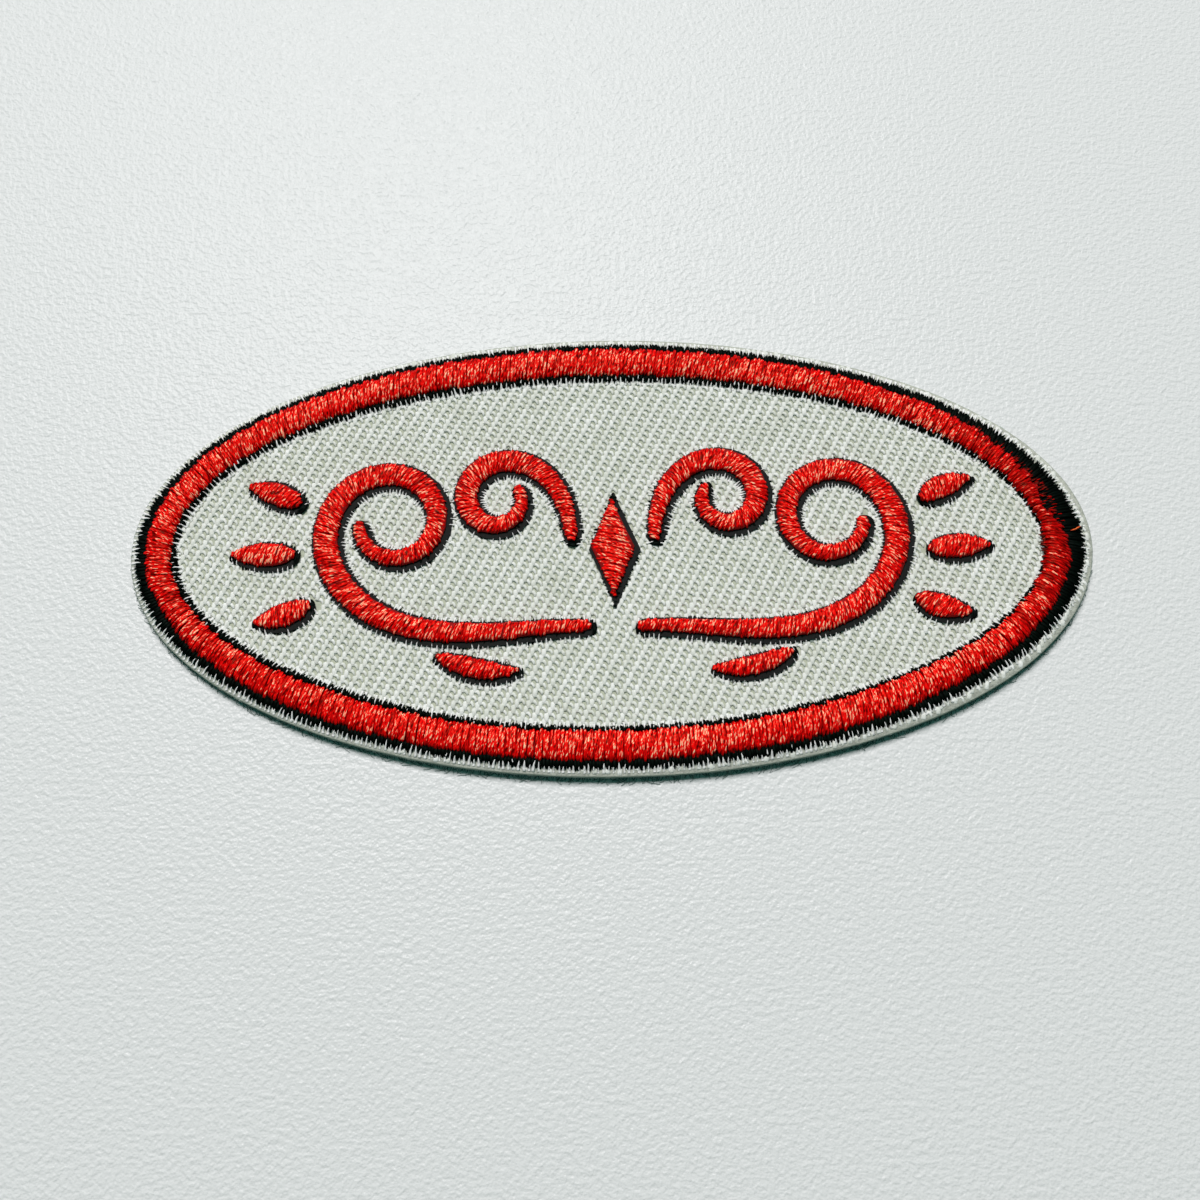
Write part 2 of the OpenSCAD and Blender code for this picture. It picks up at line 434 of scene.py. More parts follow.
RED_THREAD = ThreadFinish(
    "red_thread",
    groove_shade=shade(0.09, 0.0005, 0.0005),
    lit=shade(0.98, 0.004, 0.004),
    glint=shade(1.0, 0.71, 0.43),
    gloss=shade(1.0, 0.35, 0.16),
    roughness=0.34,
    specular=0.12,
)
BLACK_THREAD = ThreadFinish(
    "black_thread",
    groove_shade=shade(0.0003, 0.0008, 0.0005),
    lit=shade(0.0012, 0.0035, 0.0022),
    glint=shade(0.004, 0.007, 0.006),
    gloss=shade(0.5, 0.6, 0.55),
    roughness=0.55,
    specular=0.06,
)
STRAY_THREAD = ThreadFinish(
    "stray_thread",
    groove_shade=shade(0.35, 0.01, 0.002),
    lit=shade(0.85, 0.10, 0.01),
    glint=shade(0.98, 0.35, 0.12),
    gloss=shade(1.0, 0.7, 0.4),
    roughness=0.35,
    specular=0.6,
)
# Dark brown-red for the dim dashes and the bundle: red thread coloured down as painted shade
DIM_RED_THREAD = ThreadFinish(
    "dim_red_thread",
    groove_shade=shade(0.006, 0.001, 0.001),
    lit=shade(0.20, 0.010, 0.007),
    glint=shade(0.55, 0.09, 0.05),
    gloss=shade(1.0, 0.5, 0.3),
    roughness=0.4,
    specular=0.12,
)
# Cut yarn ends coloured dark teal-grey as painted shade of the wall they stand in
CUT_YARN = YarnFinish("cut_yarn", shade(0.20, 0.27, 0.24), shade(0.44, 0.49, 0.44), bump=0.05)
# Foot fibres from dark teal, as painted shade at the foot of the wall, to pale for the long ones out in the
# light
FOOT_FIBRE = YarnFinish("foot_fibre", shade(0.03, 0.07, 0.06), shade(0.36, 0.42, 0.39))
# The underlays are darker than their threads: painted shade between the stitches
RED_UNDERLAY = UnderlayFinish("red_underlay", shade(0.14, 0.001, 0.001), shade(0.40, 0.003, 0.003))
BLACK_UNDERLAY = UnderlayFinish("black_underlay", shade(0.0003, 0.0008, 0.0005), shade(0.0015, 0.003, 0.002))
TWILL_YARN = YarnFinish("twill_yarn", shade(0.62, 0.635, 0.56), shade(0.81, 0.815, 0.78), bump=0.05)
LOOSE_FIBRE = YarnFinish("loose_fibre", shade(0.78, 0.75, 0.74), shade(0.90, 0.90, 0.87))


# Vertices, edits and lines


def start_fresh() -> None:
    """Leaves edit mode and deselects everything."""
    if bpy.context.mode != "OBJECT":
        bpy.ops.object.mode_set(mode="OBJECT")
    bpy.ops.object.select_all(action="DESELECT")


def added(name: str) -> Piece:
    """The piece that was added last, under its name."""
    piece = bpy.context.active_object
    piece.name = piece.data.name = name
    return piece


def edit_all() -> None:
    """Goes into edit mode with everything selected."""
    bpy.ops.object.mode_set(mode="EDIT")
    bpy.ops.mesh.select_all(action="SELECT")


def extrude(move: Sequence[float], scale: Sequence[float]) -> None:
    """Extrudes what is selected by a move in metres, and then scales it."""
    bpy.ops.mesh.extrude_region_move(TRANSFORM_OT_translate={"value": move})
    bpy.ops.transform.resize(value=scale)


def end_edit(inside: bool = False) -> None:
    """Turns every face outwards or inwards and leaves edit mode."""
    bpy.ops.mesh.select_all(action="SELECT")
    bpy.ops.mesh.normals_make_consistent(inside=inside)
    bpy.ops.object.mode_set(mode="OBJECT")


def get_verts(piece: Piece) -> Array:
    """A piece's vertices, one row each."""
    return np.array([v.co for v in piece.data.vertices], float)


def set_verts(piece: Piece, verts: Array) -> None:
    """Moves a piece's vertices."""
    piece.data.vertices.foreach_set("co", verts.astype(np.float32).ravel())
    piece.data.update()


def unit(ways: Array) -> Array:
    """Directions with their length made 1."""
    return ways / np.maximum(np.linalg.norm(ways, axis=-1, keepdims=True), TINY)


def aside(ways: Array) -> Array:
    """Directions in plan turned a quarter turn to the left."""
    return np.stack([-ways[..., 1], ways[..., 0]], axis=-1)


def raised(plan: Array, height: Array) -> Array:
    """Lines in plan with a height at each of their points."""
    return np.concatenate([plan, height[:, :, None]], axis=2)


def between(start: Array, end: Array, share: Array) -> Array:
    """Points at shares of the way from each start to its end."""
    return start[:, None] + (end - start)[:, None] * share[None, :, None]


def reached(points: Array) -> Array:
    """Length of a line, or of each line, up to each of its points."""
    steps = np.linalg.norm(np.diff(points, axis=-2), axis=-1)
    return np.concatenate([np.zeros((*steps.shape[:-1], 1)), steps.cumsum(axis=-1)], axis=-1)


def line_at(line: Array, reach: Array, places: Array) -> Array:
    """Points at places along a line, where reach gives the places of the line's own points."""
    return np.stack([np.interp(places, reach, axis) for axis in line.T], axis=1)


# Strands and floats, modelled once


def take_mesh(piece: Piece) -> tuple[Array, list[list[int]]]:
    """The vertices and the faces of a modelled piece, which is then removed."""
    verts, faces, mesh = get_verts(piece), [list(f.vertices) for f in piece.data.polygons], piece.data
    bpy.data.objects.remove(piece)
    bpy.data.meshes.remove(mesh)
    return verts, faces


class StrandShape:
    """A short round strand that is copied along many paths."""

    def __init__(
        self, ends: Ends, sides: int, rings: int, tip: float, taper: float = 0.12, flatness: float = 0.0
    ) -> None:
        """Models the strand with extruded rings.

        Args:
            ends: How it ends.
            sides: Faces round the strand.
            rings: Rings of vertices along it.
            tip: Width at a fine end, as a share of the full width.
            taper: Share of the length over which a tucked end gets fine.
            flatness: How flat its top is, from 0 for round to 1 for square.
        """
        self.ends = ends
        self.tip = tip
        self.taper = taper
        turns = np.arange(rings) / (rings - 1)
        self.stations = (1 - np.cos(np.pi * turns)) / 2 if ends is Ends.TUCKED else turns
        start_fresh()
        bpy.ops.mesh.primitive_circle_add(
            vertices=sides, radius=1, fill_type="NGON", rotation=(0, math.pi / 2, 0)
        )
        bpy.ops.object.transform_apply(location=True, rotation=True, scale=True)
        edit_all()
        bpy.ops.transform.resize(value=(1, self.girth(0.0), self.girth(0.0)))
        for here, ahead in zip(self.stations, self.stations[1:]):
            growth = self.girth(ahead) / self.girth(here)
            extrude((ahead - here, 0, 0), (1, growth, growth))
        end_edit()
        verts, self.faces = take_mesh(bpy.context.active_object)
        self.ring = np.abs(verts[:, :1] - self.stations[None, :]).argmin(axis=1)
        radius = np.hypot(verts[:, 1], verts[:, 2])
        self.across, self.up = (
            np.sign(v) * np.abs(v / radius) ** (1 - flatness) * radius for v in verts[:, 1:].T
        )
        self.loops = np.array([v for f in self.faces for v in f])
        self.around = self.unwrap()

    def girth(self, share: float) -> float:
        """Width there, as a share of the full width."""
        if self.ends is Ends.FRAYED:
            return 1 + (self.tip - 1) * share
        near = min(share, 1 - share)
        return self.tip + (1 - self.tip) * min(1.0, near / self.taper) ** TAPER_POWER

    def unwrap(self) -> Array:
        """Turn round the strand of each face corner, from 0 to 1, with no jump inside a face."""
        turn = np.arctan2(self.up, self.across) / (2 * math.pi) % 1.0
        corners = []
        for face in self.faces:
            seen = turn[face]
            if seen.max() - seen.min() > 0.5:
                seen = np.where(seen < 0.5, seen + 1, seen)
            corners.extend(seen)
        return np.array(corners)

    def lay(
        self,
        name: str,
        paths: Array,
        widths: Array,
        thicknesses: Array,
        tones: Array,
        start_shade_reach: float = 1.0,
    ) -> Piece:
        """Copies the strand along paths and joins the copies.

        Args:
            name: The piece's name.
            paths: Middle line of each copy at the shape's stations, in millimetres.
            widths: Sideways width of each copy, at each station or in one column.
            thicknesses: Thickness of each copy, in the same way.
            tones: A share from 0 to 1 for each copy, kept as an attribute.
            start_shade_reach: How much further the painted shade near the first end of a copy reaches than
                near its last end.

        Returns:
            The joined piece.
        """
        ahead = unit(np.gradient(paths, axis=1))
        side = unit(raised(aside(ahead), np.zeros(ahead.shape[:2])))
        lift = np.cross(ahead, side)
        widths, thicknesses = (
            np.broadcast_to(size, paths.shape[:2])[:, self.ring] for size in (widths, thicknesses)
        )
        verts = (
            paths[:, self.ring]
            + side[:, self.ring] * (self.across * widths / 2)[:, :, None]
            + lift[:, self.ring] * (self.up * thicknesses / 2)[:, :, None]
        )
        reach = reached(paths)
        along = reach[:, self.ring]
        around = np.broadcast_to(self.around, (len(paths), len(self.around)))
        uv = np.stack([around, along[:, self.loops]], axis=2)
        # The end gap drives painted shade near the ends, drawn out from the first end by start_shade_reach
        gap = np.minimum(along / start_shade_reach, reach[:, -1:] - along)
        return joined(name, verts, self.faces, {TONE: np.repeat(tones, verts.shape[1]), END_GAP: gap}, uv)


def joined(name: str, verts: Array, faces: list[list[int]], shares: dict[str, Array], uv: Array) -> Piece:
    """One object of many copies of a shape.

    Args:
        name: The object's name.
        verts: Vertices of each copy, in millimetres.
        faces: Faces of one copy.
        shares: Values of the vertices, by the attribute that keeps them.
        uv: UV of each face corner of each copy.

    Returns:
        The object, shaded smooth, with its place in its mesh.
    """
    copies, size = verts.shape[:2]
    starts = np.arange(copies) * size
    flat = np.array([v for f in faces for v in f])
    corners = np.tile([len(f) for f in faces], copies)
    mesh = bpy.data.meshes.new(name)
    mesh.vertices.add(copies * size)
    mesh.vertices.foreach_set("co", (verts * MM).astype(np.float32).ravel())
    mesh.loops.add(copies * len(flat))
    mesh.loops.foreach_set("vertex_index", (starts[:, None] + flat).astype(np.int32).ravel())
    mesh.polygons.add(len(corners))
    mesh.polygons.foreach_set("loop_start", (corners.cumsum() - corners).astype(np.int32))
    mesh.polygons.foreach_set("use_smooth", np.ones(len(corners), bool))
    for attribute, values in shares.items():
        data = mesh.attributes.new(attribute, "FLOAT", "POINT").data
        data.foreach_set("value", values.astype(np.float32).ravel())
    mesh.uv_layers.new(name=UV_NAME).data.foreach_set("uv", uv.astype(np.float32).ravel())
    mesh.update(calc_edges=True)
    mesh.validate()
    piece = bpy.data.objects.new(name, mesh)
    bpy.context.scene.collection.objects.link(piece)
    return piece


def dress(piece: Piece, material: Material) -> None:
    """Gives a piece its material."""
    piece.data.materials.clear()
    piece.data.materials.append(material)


def settle(piece: Piece, slot: str, node: str | None = None, material: Material | None = None) -> Piece:
    """Lets a finished piece ride on the patch, and logs its triangles.

    Args:
        piece: The piece.
        slot: Not used.
        node: The node that it stands for, if any.
        material: Its material, if it isn't dressed yet.

    Returns:
        The piece.
    """
    if material:
        dress(piece, material)
    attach(piece, "root")
    if node:
        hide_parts(node)
    LOG.info("%s: %d triangles", piece.name, sum(len(f.vertices) - 2 for f in piece.data.polygons))
    return piece


# Plan shapes


@dataclass(frozen=True)
class Oval:
    """An upright oval in plan."""

    half_x: float
    half_y: float
    mid_x: float = 0.0
    mid_y: float = 0.0

    @classmethod
    def of_node(cls, node: str, margin: float = 0.0) -> Oval:
        """The outline of a node's box, grown by a margin."""
        low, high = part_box(node)
        half = (high - low) / 2 / MM
        mid = (high + low) / 2 / MM
        return cls(half.x + margin, half.y + margin, mid.x, mid.y)

    def grown(self, margin: float) -> Oval:
        """The same oval, larger by a margin all round."""
        return Oval(self.half_x + margin, self.half_y + margin, self.mid_x, self.mid_y)

    def at(self, turn: Array) -> Array:
        """Points at turns in radians."""
        x, y = self.mid_x + self.half_x * np.cos(turn), self.mid_y + self.half_y * np.sin(turn)
        return np.stack([x, y], axis=-1)

    def outward(self, turn: Array) -> Array:
        """Unit directions straight out of the oval at turns."""
        return unit(np.stack([np.cos(turn) * self.half_y, np.sin(turn) * self.half_x], axis=-1))

    def turns_met(self, points: Array, ways: Array) -> Array:
        """Turns at which straight lines from points outside, in given ways, first meet the oval."""
        size = np.array([self.half_x, self.half_y])
        start, way = (points - [self.mid_x, self.mid_y]) / size, ways / size
        a, b, c = (way * way).sum(axis=1), (start * way).sum(axis=1), (start * start).sum(axis=1) - 1
        reach = (-b - np.sqrt(np.maximum(b * b - a * c, 0))) / a
        met = start + reach[:, None] * way
        return np.arctan2(met[:, 1], met[:, 0])

    def level(self, points: Array) -> Array:
        """How far out points are, 1 on the oval itself."""
        return np.hypot((points[:, 0] - self.mid_x) / self.half_x, (points[:, 1] - self.mid_y) / self.half_y)

    def even_turns(self, count: int) -> Array:
        """Turns of evenly spaced points along the oval."""
        fine = np.linspace(0, 2 * math.pi, 4001)
        reach = reached(self.at(fine))
        return np.interp(np.arange(count) * reach[-1] / count, reach, fine)

    def length(self) -> float:
        """Length of the outline."""
        return float(reached(self.at(np.linspace(0, 2 * math.pi, 2001)))[-1])


@dataclass(frozen=True)
class Stroke:
    """A swelling, turning stroke of the ornament, drawn in a field 1 long.

    Turn rates are in degrees over the whole length, and widths are shares of the widest stroke.
    """

    name: str
    start: tuple[float, float]
    heading: float
    run: float
    rates: tuple[float, float]
    widths: tuple[float, float, float]
    steps: int

    def sides(self, scale: Array, grow: float = 0.0) -> tuple[Array, Array]:
        """Both sides of the stroke, as its solid has them.

        Args:
            scale: Millimetres of the field along X and Y.
            grow: How far the sides are moved out.

        Returns:
            Points along the right side and along the left side.
        """
        extra = grow / (self.run * scale[0])
        share = -extra + (1 + 2 * extra) * (1 - np.cos(np.pi * np.arange(self.steps + 1) / self.steps)) / 2
        mid = (share[1:] + share[:-1]) / 2
        moves = self.ahead(mid) * (np.diff(share) * self.run)[:, None]
        first = np.array(self.start) - self.ahead(np.array([0.0]))[0] * extra * self.run
        line = (first + np.concatenate([np.zeros((1, 2)), moves.cumsum(axis=0)])) * scale
        index = np.arange(self.steps + 1)
        chord = line[np.minimum(index + 1, self.steps)] - line[np.maximum(index - 1, 0)]
        half = self.half_width(share, extra, grow, scale[0])[:, None] * unit(aside(chord))
        return line - half, line + half

    def ahead(self, share: Array) -> Array:
        """Unit directions at shares of the length."""
        turn = self.heading + self.rates[0] * share + (self.rates[1] - self.rates[0]) * share**2 / 2
        return np.stack([np.cos(np.radians(turn)), np.sin(np.radians(turn))], axis=1)

    def half_width(self, share: Array, extra: float, grow: float, scale_x: float) -> Array:
        """Half widths at shares of the length, rounded off at both ends."""
        first, middle, last = (STROKE_WIDTH * w for w in self.widths)
        t = share.clip(0, 1)
        swell = first * (1 - t) * (1 - 2 * t) + middle * 4 * t * (1 - t) + last * t * (2 * t - 1)
        width = swell / 2 + grow
        near = np.minimum(share, 1 - share) + extra
        reach = np.minimum(1, near * self.run * scale_x / width)
        return width * np.sqrt(np.maximum(TIP_FLOOR, 1 - (1 - reach) ** 2))


STROKES = (
    Stroke("vine", (0.062, -0.215), 2, 1.630, (-120, 1025), (0.45, 1.00, 0.50), 56),
    Stroke("crest", (0.110, 0.020), 88, 0.760, (-80, -720), (0.45, 0.95, 0.42), 40),
    Stroke("upper_leaf", (0.826, 0.128), 32, 0.150, (-20, -20), (0.45, 0.95, 0.16), 14),
    Stroke("middle_leaf", (0.835, -0.012), 2, 0.165, (0, 0), (0.45, 1.00, 0.16), 14),
    Stroke("lower_leaf", (0.790, -0.145), -30, 0.150, (25, 25), (0.45, 0.95, 0.16), 14),
    Stroke("sprig", (0.250, -0.330), -6, 0.215, (38, 28), (0.16, 0.80, 0.30), 14),
)


# Satin stitching


@dataclass(frozen=True)
class Thread:
    """How a colour's thread is laid: sizes in millimetres, its lean in degrees, and its lump as a share."""

    width: float = 0.43
    thickness: float = 0.28
    pitch: float = 0.33
    lean: float = 10.0
    end_play: float = 0.17
    side_play: float = 0.03
    lift_play: float = 0.03
    overhang: float = 0.05
    lump: float = 0.10
    most_lump: float = 0.3
    lump_lift: float = 0.018
    width_shares: tuple[float, float] = (0.88, 1.08)


def arch(share: Array) -> Array:
    """Height of a satin stitch over its ends, as a share of its rise."""
    return np.maximum(0, 1 - (2 * share - 1) ** 2) ** ARCH_POWER


class SatinRow:
    """Stitches laid side by side, each between two needle holes in plan."""

    def __init__(self, thread: Thread, shape: StrandShape, seed: int) -> None:
        """Takes the thread, the strand to copy, and the seed of its unevenness."""
        self.thread = thread
        self.shape = shape
        self.random = np.random.default_rng(seed)

    def paths(
        self, start: Array, end: Array, base: float, rise: Array, lean: float | Array = 0.0
    ) -> Array:
        """Middle lines of stitches, with the unevenness of real sewing.

        Args:
            start: Needle holes on one side, in plan.
            end: Needle holes on the other side.
            base: Height of the ground that they are sewn into.
            rise: Height of each arch over the ground.
            lean: Degrees by which they lean further than the thread's own lean.

        Returns:
            Points of each stitch at the strand's stations.
        """
        thread, random, count = self.thread, self.random, len(start)
        length = np.linalg.norm(end - start, axis=1, keepdims=True)
        ahead = unit(end - start)
        side = -aside(ahead)
        slant = np.tan(np.radians(thread.lean + lean)).reshape(-1, 1) * length / 2
        play = random.uniform(-1, 1, (count, 2)) * thread.end_play + thread.overhang
        start = start - ahead * play[:, :1] - side * slant
        end = end + ahead * play[:, 1:] + side * slant
        shift = random.normal(0, thread.side_play, (count, 2))
        share = self.shape.stations
        plan = between(start + side * shift[:, :1], end + side * shift[:, 1:], share)
        bow = random.normal(0, thread.side_play, count)[:, None] * (4 * share * (1 - share))[None, :]
        plan = plan + side[:, None] * bow[:, :, None]
        lift = random.uniform(-1, 1, count) * thread.lift_play
        bumps = random.normal(0, thread.lump_lift, (count, len(share))) * arch(share)
        height = arch(share)[None, :] * (rise + lift)[:, None] + bumps - thread.thickness / 2
        return raised(plan, base + height)

    def lay(
        self, name: str, paths: Array, dimming: float | Array = 0.0, start_shade_reach: float = 1.0
    ) -> Piece:
        """Copies the strand along the paths of the stitches, lumpy as twisted thread is.

        Args:
            name: The piece's name.
            paths: Points of each stitch at the strand's stations.
            dimming: How far the tone of each stitch is lowered, as painted shade.
            start_shade_reach: How much further the painted shade near the first end reaches.

        Returns:
            The joined stitches.
        """
        thread, random, count = self.thread, self.random, len(paths)
        swell = 1 + random.normal(0, thread.lump, paths.shape[:2]).clip(-thread.most_lump, thread.most_lump)
        widths = thread.width * random.uniform(*thread.width_shares, (count, 1)) * swell
        tones = random.uniform(0, 1, count) - dimming
        return self.shape.lay(name, paths, widths, thread.thickness * swell, tones, start_shade_reach)


def ring_underlay(name: str, outer: Array, inner: Array, rise: float, margin: float) -> Piece:
    """A closed low ring under a satin line, between its two lines of needle holes.

    Args:
        name: The piece's name.
        outer: Outer needle holes, in plan, in order round the border.
        inner: Inner needle holes, one for each outer one.
        rise: Height of its crest over the cloth.
        margin: How far its sides stay inside the holes.

    Returns:
        The ring.
    """
    start_fresh()
    # Radius of the tube before it is moved into place, and depth of the ring below its seam
    tube, foot = 0.25, 0.1
    bpy.ops.mesh.primitive_torus_add(
        major_segments=240, minor_segments=10, major_radius=1, minor_radius=tube, generate_uvs=False
    )
    piece = added(name)
    verts = get_verts(piece)
    at = np.arctan2(verts[:, 1], verts[:, 0]) % (2 * math.pi) / (2 * math.pi) * len(outer)
    low, part = np.floor(at).astype(int) % len(outer), (at - np.floor(at))[:, None]
    out, inn = (holes[low] * (1 - part) + holes[(low + 1) % len(holes)] * part for holes in (outer, inner))
    way = unit(inn - out)
    share = ((1 - np.hypot(verts[:, 0], verts[:, 1])) / tube + 1)[:, None] / 2
    verts[:, :2] = (out + way * margin) * (1 - share) + (inn - way * margin) * share
    crest = np.where(verts[:, 2] > 0, rise, foot) * verts[:, 2] / tube
    verts[:, 2] = CLOTH_TOP - UNDERLAY_DROP + crest
    set_verts(piece, verts * MM)
    bpy.ops.object.shade_smooth_by_angle(angle=math.radians(60))
    return piece


def underlay(node: str, inset: float) -> Piece:
    """A copy of a node's solid, drawn in by an inset in millimetres so that the stitches cover it."""
    start_fresh()
    copy = bpy.data.objects.new(node + "_underlay", bpy.data.objects[node].data.copy())
    bpy.context.scene.collection.objects.link(copy)
    bpy.context.view_layer.objects.active = copy
    copy.select_set(True)
    edit_all()
    bpy.ops.mesh.remove_doubles(threshold=0.002 * MM)
    bpy.ops.transform.shrink_fatten(value=-inset * MM)
    bpy.ops.object.mode_set(mode="OBJECT")
    bpy.ops.object.shade_smooth_by_angle(angle=math.radians(40))
    return copy


@dataclass(frozen=True)
class Satin:
    """The materials of satin in one colour."""

    thread: Material
    below: Material
    slot: str

    def cover(self, stitches: Piece, node: str, ground: Piece) -> None:
        """Joins stitches with the underlay that they cover, in place of a node."""
        dress(ground, self.below)
        dress(stitches, self.thread)
        start_fresh()
        stitches.select_set(True)
        ground.select_set(True)
        bpy.context.view_layer.objects.active = stitches
        bpy.ops.object.join()
        settle(stitches, self.slot, node)


@dataclass(frozen=True)
class Materials:
    """The patch's materials, each built once."""

    red: Satin
    black: Satin
    stray: Material
    dim_red: Material
    yarn: Material
    fibre: Material
    cloth: Material
    cut_yarn: Material
    foot_fibre: Material

    @classmethod
    def build(cls) -> Materials:
        """Builds every finish."""
        red = Satin(RED_THREAD.material(), RED_UNDERLAY.material(), "red_thread")
        black = Satin(BLACK_THREAD.material(), BLACK_UNDERLAY.material(), "black_thread")
        others = (STRAY_THREAD, DIM_RED_THREAD, TWILL_YARN, LOOSE_FIBRE, ClothFinish(), CUT_YARN, FOOT_FIBRE)
        return cls(red, black, *(finish.material() for finish in others))


# Border and ornament


@dataclass(frozen=True)
class Stray:
    """A stretch of needle holes further in: its turn and spread in degrees, its depth in millimetres."""

    turn: float
    spread: float
    depth: float

    def at(self, turns: Array) -> Array:
        """Its depth at turns in radians."""
        away = (np.degrees(turns) - self.turn + 180) % 360 - 180
        return self.depth * np.exp(-((away / self.spread) ** 2))


def strays(*rows: tuple[float, float, float]) -> tuple[Stray, ...]:
    """Strays from rows of turn, spread and depth."""
    return tuple(Stray(*row) for row in rows)


@dataclass(frozen=True)
class NeedleLine:
    """A line of needle holes: an oval, moved in by a base distance and further by its strays."""

    oval: Oval
    base: float
    strays: tuple[Stray, ...]

    def holes(self, turns: Array) -> Array:
        """Needle holes in plan, at turns in radians."""
        depth = self.base + sum(stray.at(turns) for stray in self.strays)
        return self.oval.at(turns) - self.oval.outward(turns) * depth[:, None]

    def facing(self, outside: NeedleLine, turns: Array) -> Array:
        """Needle holes straight across from those of a line outside this one."""
        return self.holes(self.oval.turns_met(outside.oval.at(turns), -outside.oval.outward(turns)))


@dataclass
class Border:
    """The red satin band between its two black lines."""

    red_shape: StrandShape
    black_shape: StrandShape
    materials: Materials
    red: Thread = Thread()
    black: Thread = Thread(width=0.40, thickness=0.26, pitch=0.31, lean=4.0, end_play=0.12)
    tuck: float = 0.35
    margin: float = 0.22
    # Lean of the stitches at every 30 degrees of turn
    leans: tuple[float, ...] = (11, -4, 3, 7, 12, 1, 9, -9, -6, 0, 5, -3)
    # Where painted shade dims the red, and how much further painted shade reaches in from its outer ends
    painted_shade: tuple[Stray, ...] = strays((6, 30, 1.12), (185, 26, 0.4), (225, 25, 0.25))
    start_shade_reach: float = 2.5
    # Where the red's outer ends are uneven, and by how much
    ragged: Stray = Stray(18, 15, 0.28)
    # How far the cloth's two edges, and the red's outer and inner ends, lie outside their ovals
    edge_over: tuple[float, float] = (0.10, 0.20)
    red_over: tuple[float, float] = (0.05, 0.12)
    # Where the red is thin, and where its ends, the field's edge and the outer edge stray
    thin: tuple[Stray, ...] = strays((11, 7, 1.25), (25, 7, 0.45))
    red_outer: tuple[Stray, ...] = strays(
        (110, 60, -0.08), (160, 30, -0.18), (198, 5, 0.2), (316, 8, 0.15), (355, 10, -0.2)
    )
    red_inner: tuple[Stray, ...] = strays(
        (205, 18, 0.25), (232, 20, 0.45), (268, 18, 0.30), (312, 26, 0.66), (338, 10, 0.15)
    )
    field_edge: tuple[Stray, ...] = strays(
        (160, 24, -0.22), (208, 16, 0.33), (232, 18, 0.46), (270, 20, 0.22),
        (312, 24, 0.58), (334, 12, 0.22), (357, 9, -0.25),
    )
    outer_edge: tuple[Stray, ...] = strays(
        (65, 50, 0.06), (105, 30, 0.08), (318, 14, 0.25), (270, 40, 0.03), (358, 8, -0.15)
    )

    def ovals(self) -> tuple[Oval, Oval, Oval, Oval]:
        """Outlines from outside in: outer line, band, inner line, bare field."""
        nodes = ("outer_edging", "red_band", "inner_edging")
        outer, band, inner = (Oval.of_node(node, SATIN_GAP / 2) for node in nodes)
        width_x, width_y = INNER_LINE_WIDTHS
        return outer, band, inner, Oval(inner.half_x - width_x, inner.half_y - width_y, *FIELD_MID)

    def needle_lines(self) -> dict[str, tuple[NeedleLine, NeedleLine]]:
        """The outer and the inner needle line of each satin line, by its node."""
        outer, band, inner, field = self.ovals()
        (outside, inside), (red_outside, red_inside) = self.edge_over, self.red_over
        rows = {
            "outer_edging": ((outer, -outside, self.outer_edge), (band, self.tuck, self.thin)),
            "inner_edging": ((inner, -self.tuck, self.red_inner), (field, -inside, self.field_edge)),
            "red_band": (
                (band, -red_outside, self.thin + self.red_outer),
                (inner, -red_inside, self.red_inner),
            ),
        }
        return {node: tuple(NeedleLine(*row) for row in pair) for node, pair in rows.items()}

    def ring(self, name: str, node: str, seed: int, rise: float) -> None:
        """Stitches between two needle lines, in place of a node.

        Args:
            name: The piece's name.
            node: The node that it stands for.
            seed: Seed of the unevenness.
            rise: Height of the arch over the cloth.
        """
        is_red = node == "red_band"
        red = self.red, self.red_shape, self.materials.red
        black = self.black, self.black_shape, self.materials.black
        thread, shape, satin = red if is_red else black
        outer, inner = self.needle_lines()[node]
        middle = Oval.of_node(node)
        turns = middle.even_turns(round(middle.length() / thread.pitch))
        start, end = outer.holes(turns), inner.facing(outer, turns)
        row = SatinRow(thread, shape, seed)
        if is_red:
            uneven = row.random.uniform(-1, 1, len(turns)) * self.ragged.at(turns)
            start = start + outer.oval.outward(turns) * uneven[:, None]
        every = np.radians(np.arange(len(self.leans)) * 360 / len(self.leans))
        lean = np.interp(turns, every, self.leans, period=2 * math.pi) - thread.lean
        paths = row.paths(start, end, CLOTH_TOP, np.full(len(turns), rise), lean)
        # Tones lowered by painted shade, and painted shade drawn out from the outer ends
        stitches = row.lay(name, paths, sum(stray.at(turns) for stray in self.painted_shade), self.start_shade_reach)
        even = np.linspace(0, 2 * math.pi, 720, endpoint=False)
        holes = outer.holes(even), inner.facing(outer, even)
        ground = ring_underlay(node + "_underlay", *holes, rise - UNDERLAY_DROP, self.margin)
        satin.cover(stitches, node, ground)

    def build(self) -> None:
        """Builds the two black rings and the red one."""
        self.ring("outer_line_stitches", "outer_edging", 21, LINE_RISE)
        self.ring("inner_line_stitches", "inner_edging", 22, LINE_RISE)
        self.ring("red_band_stitches", "red_band", 23, BAND_RISE)


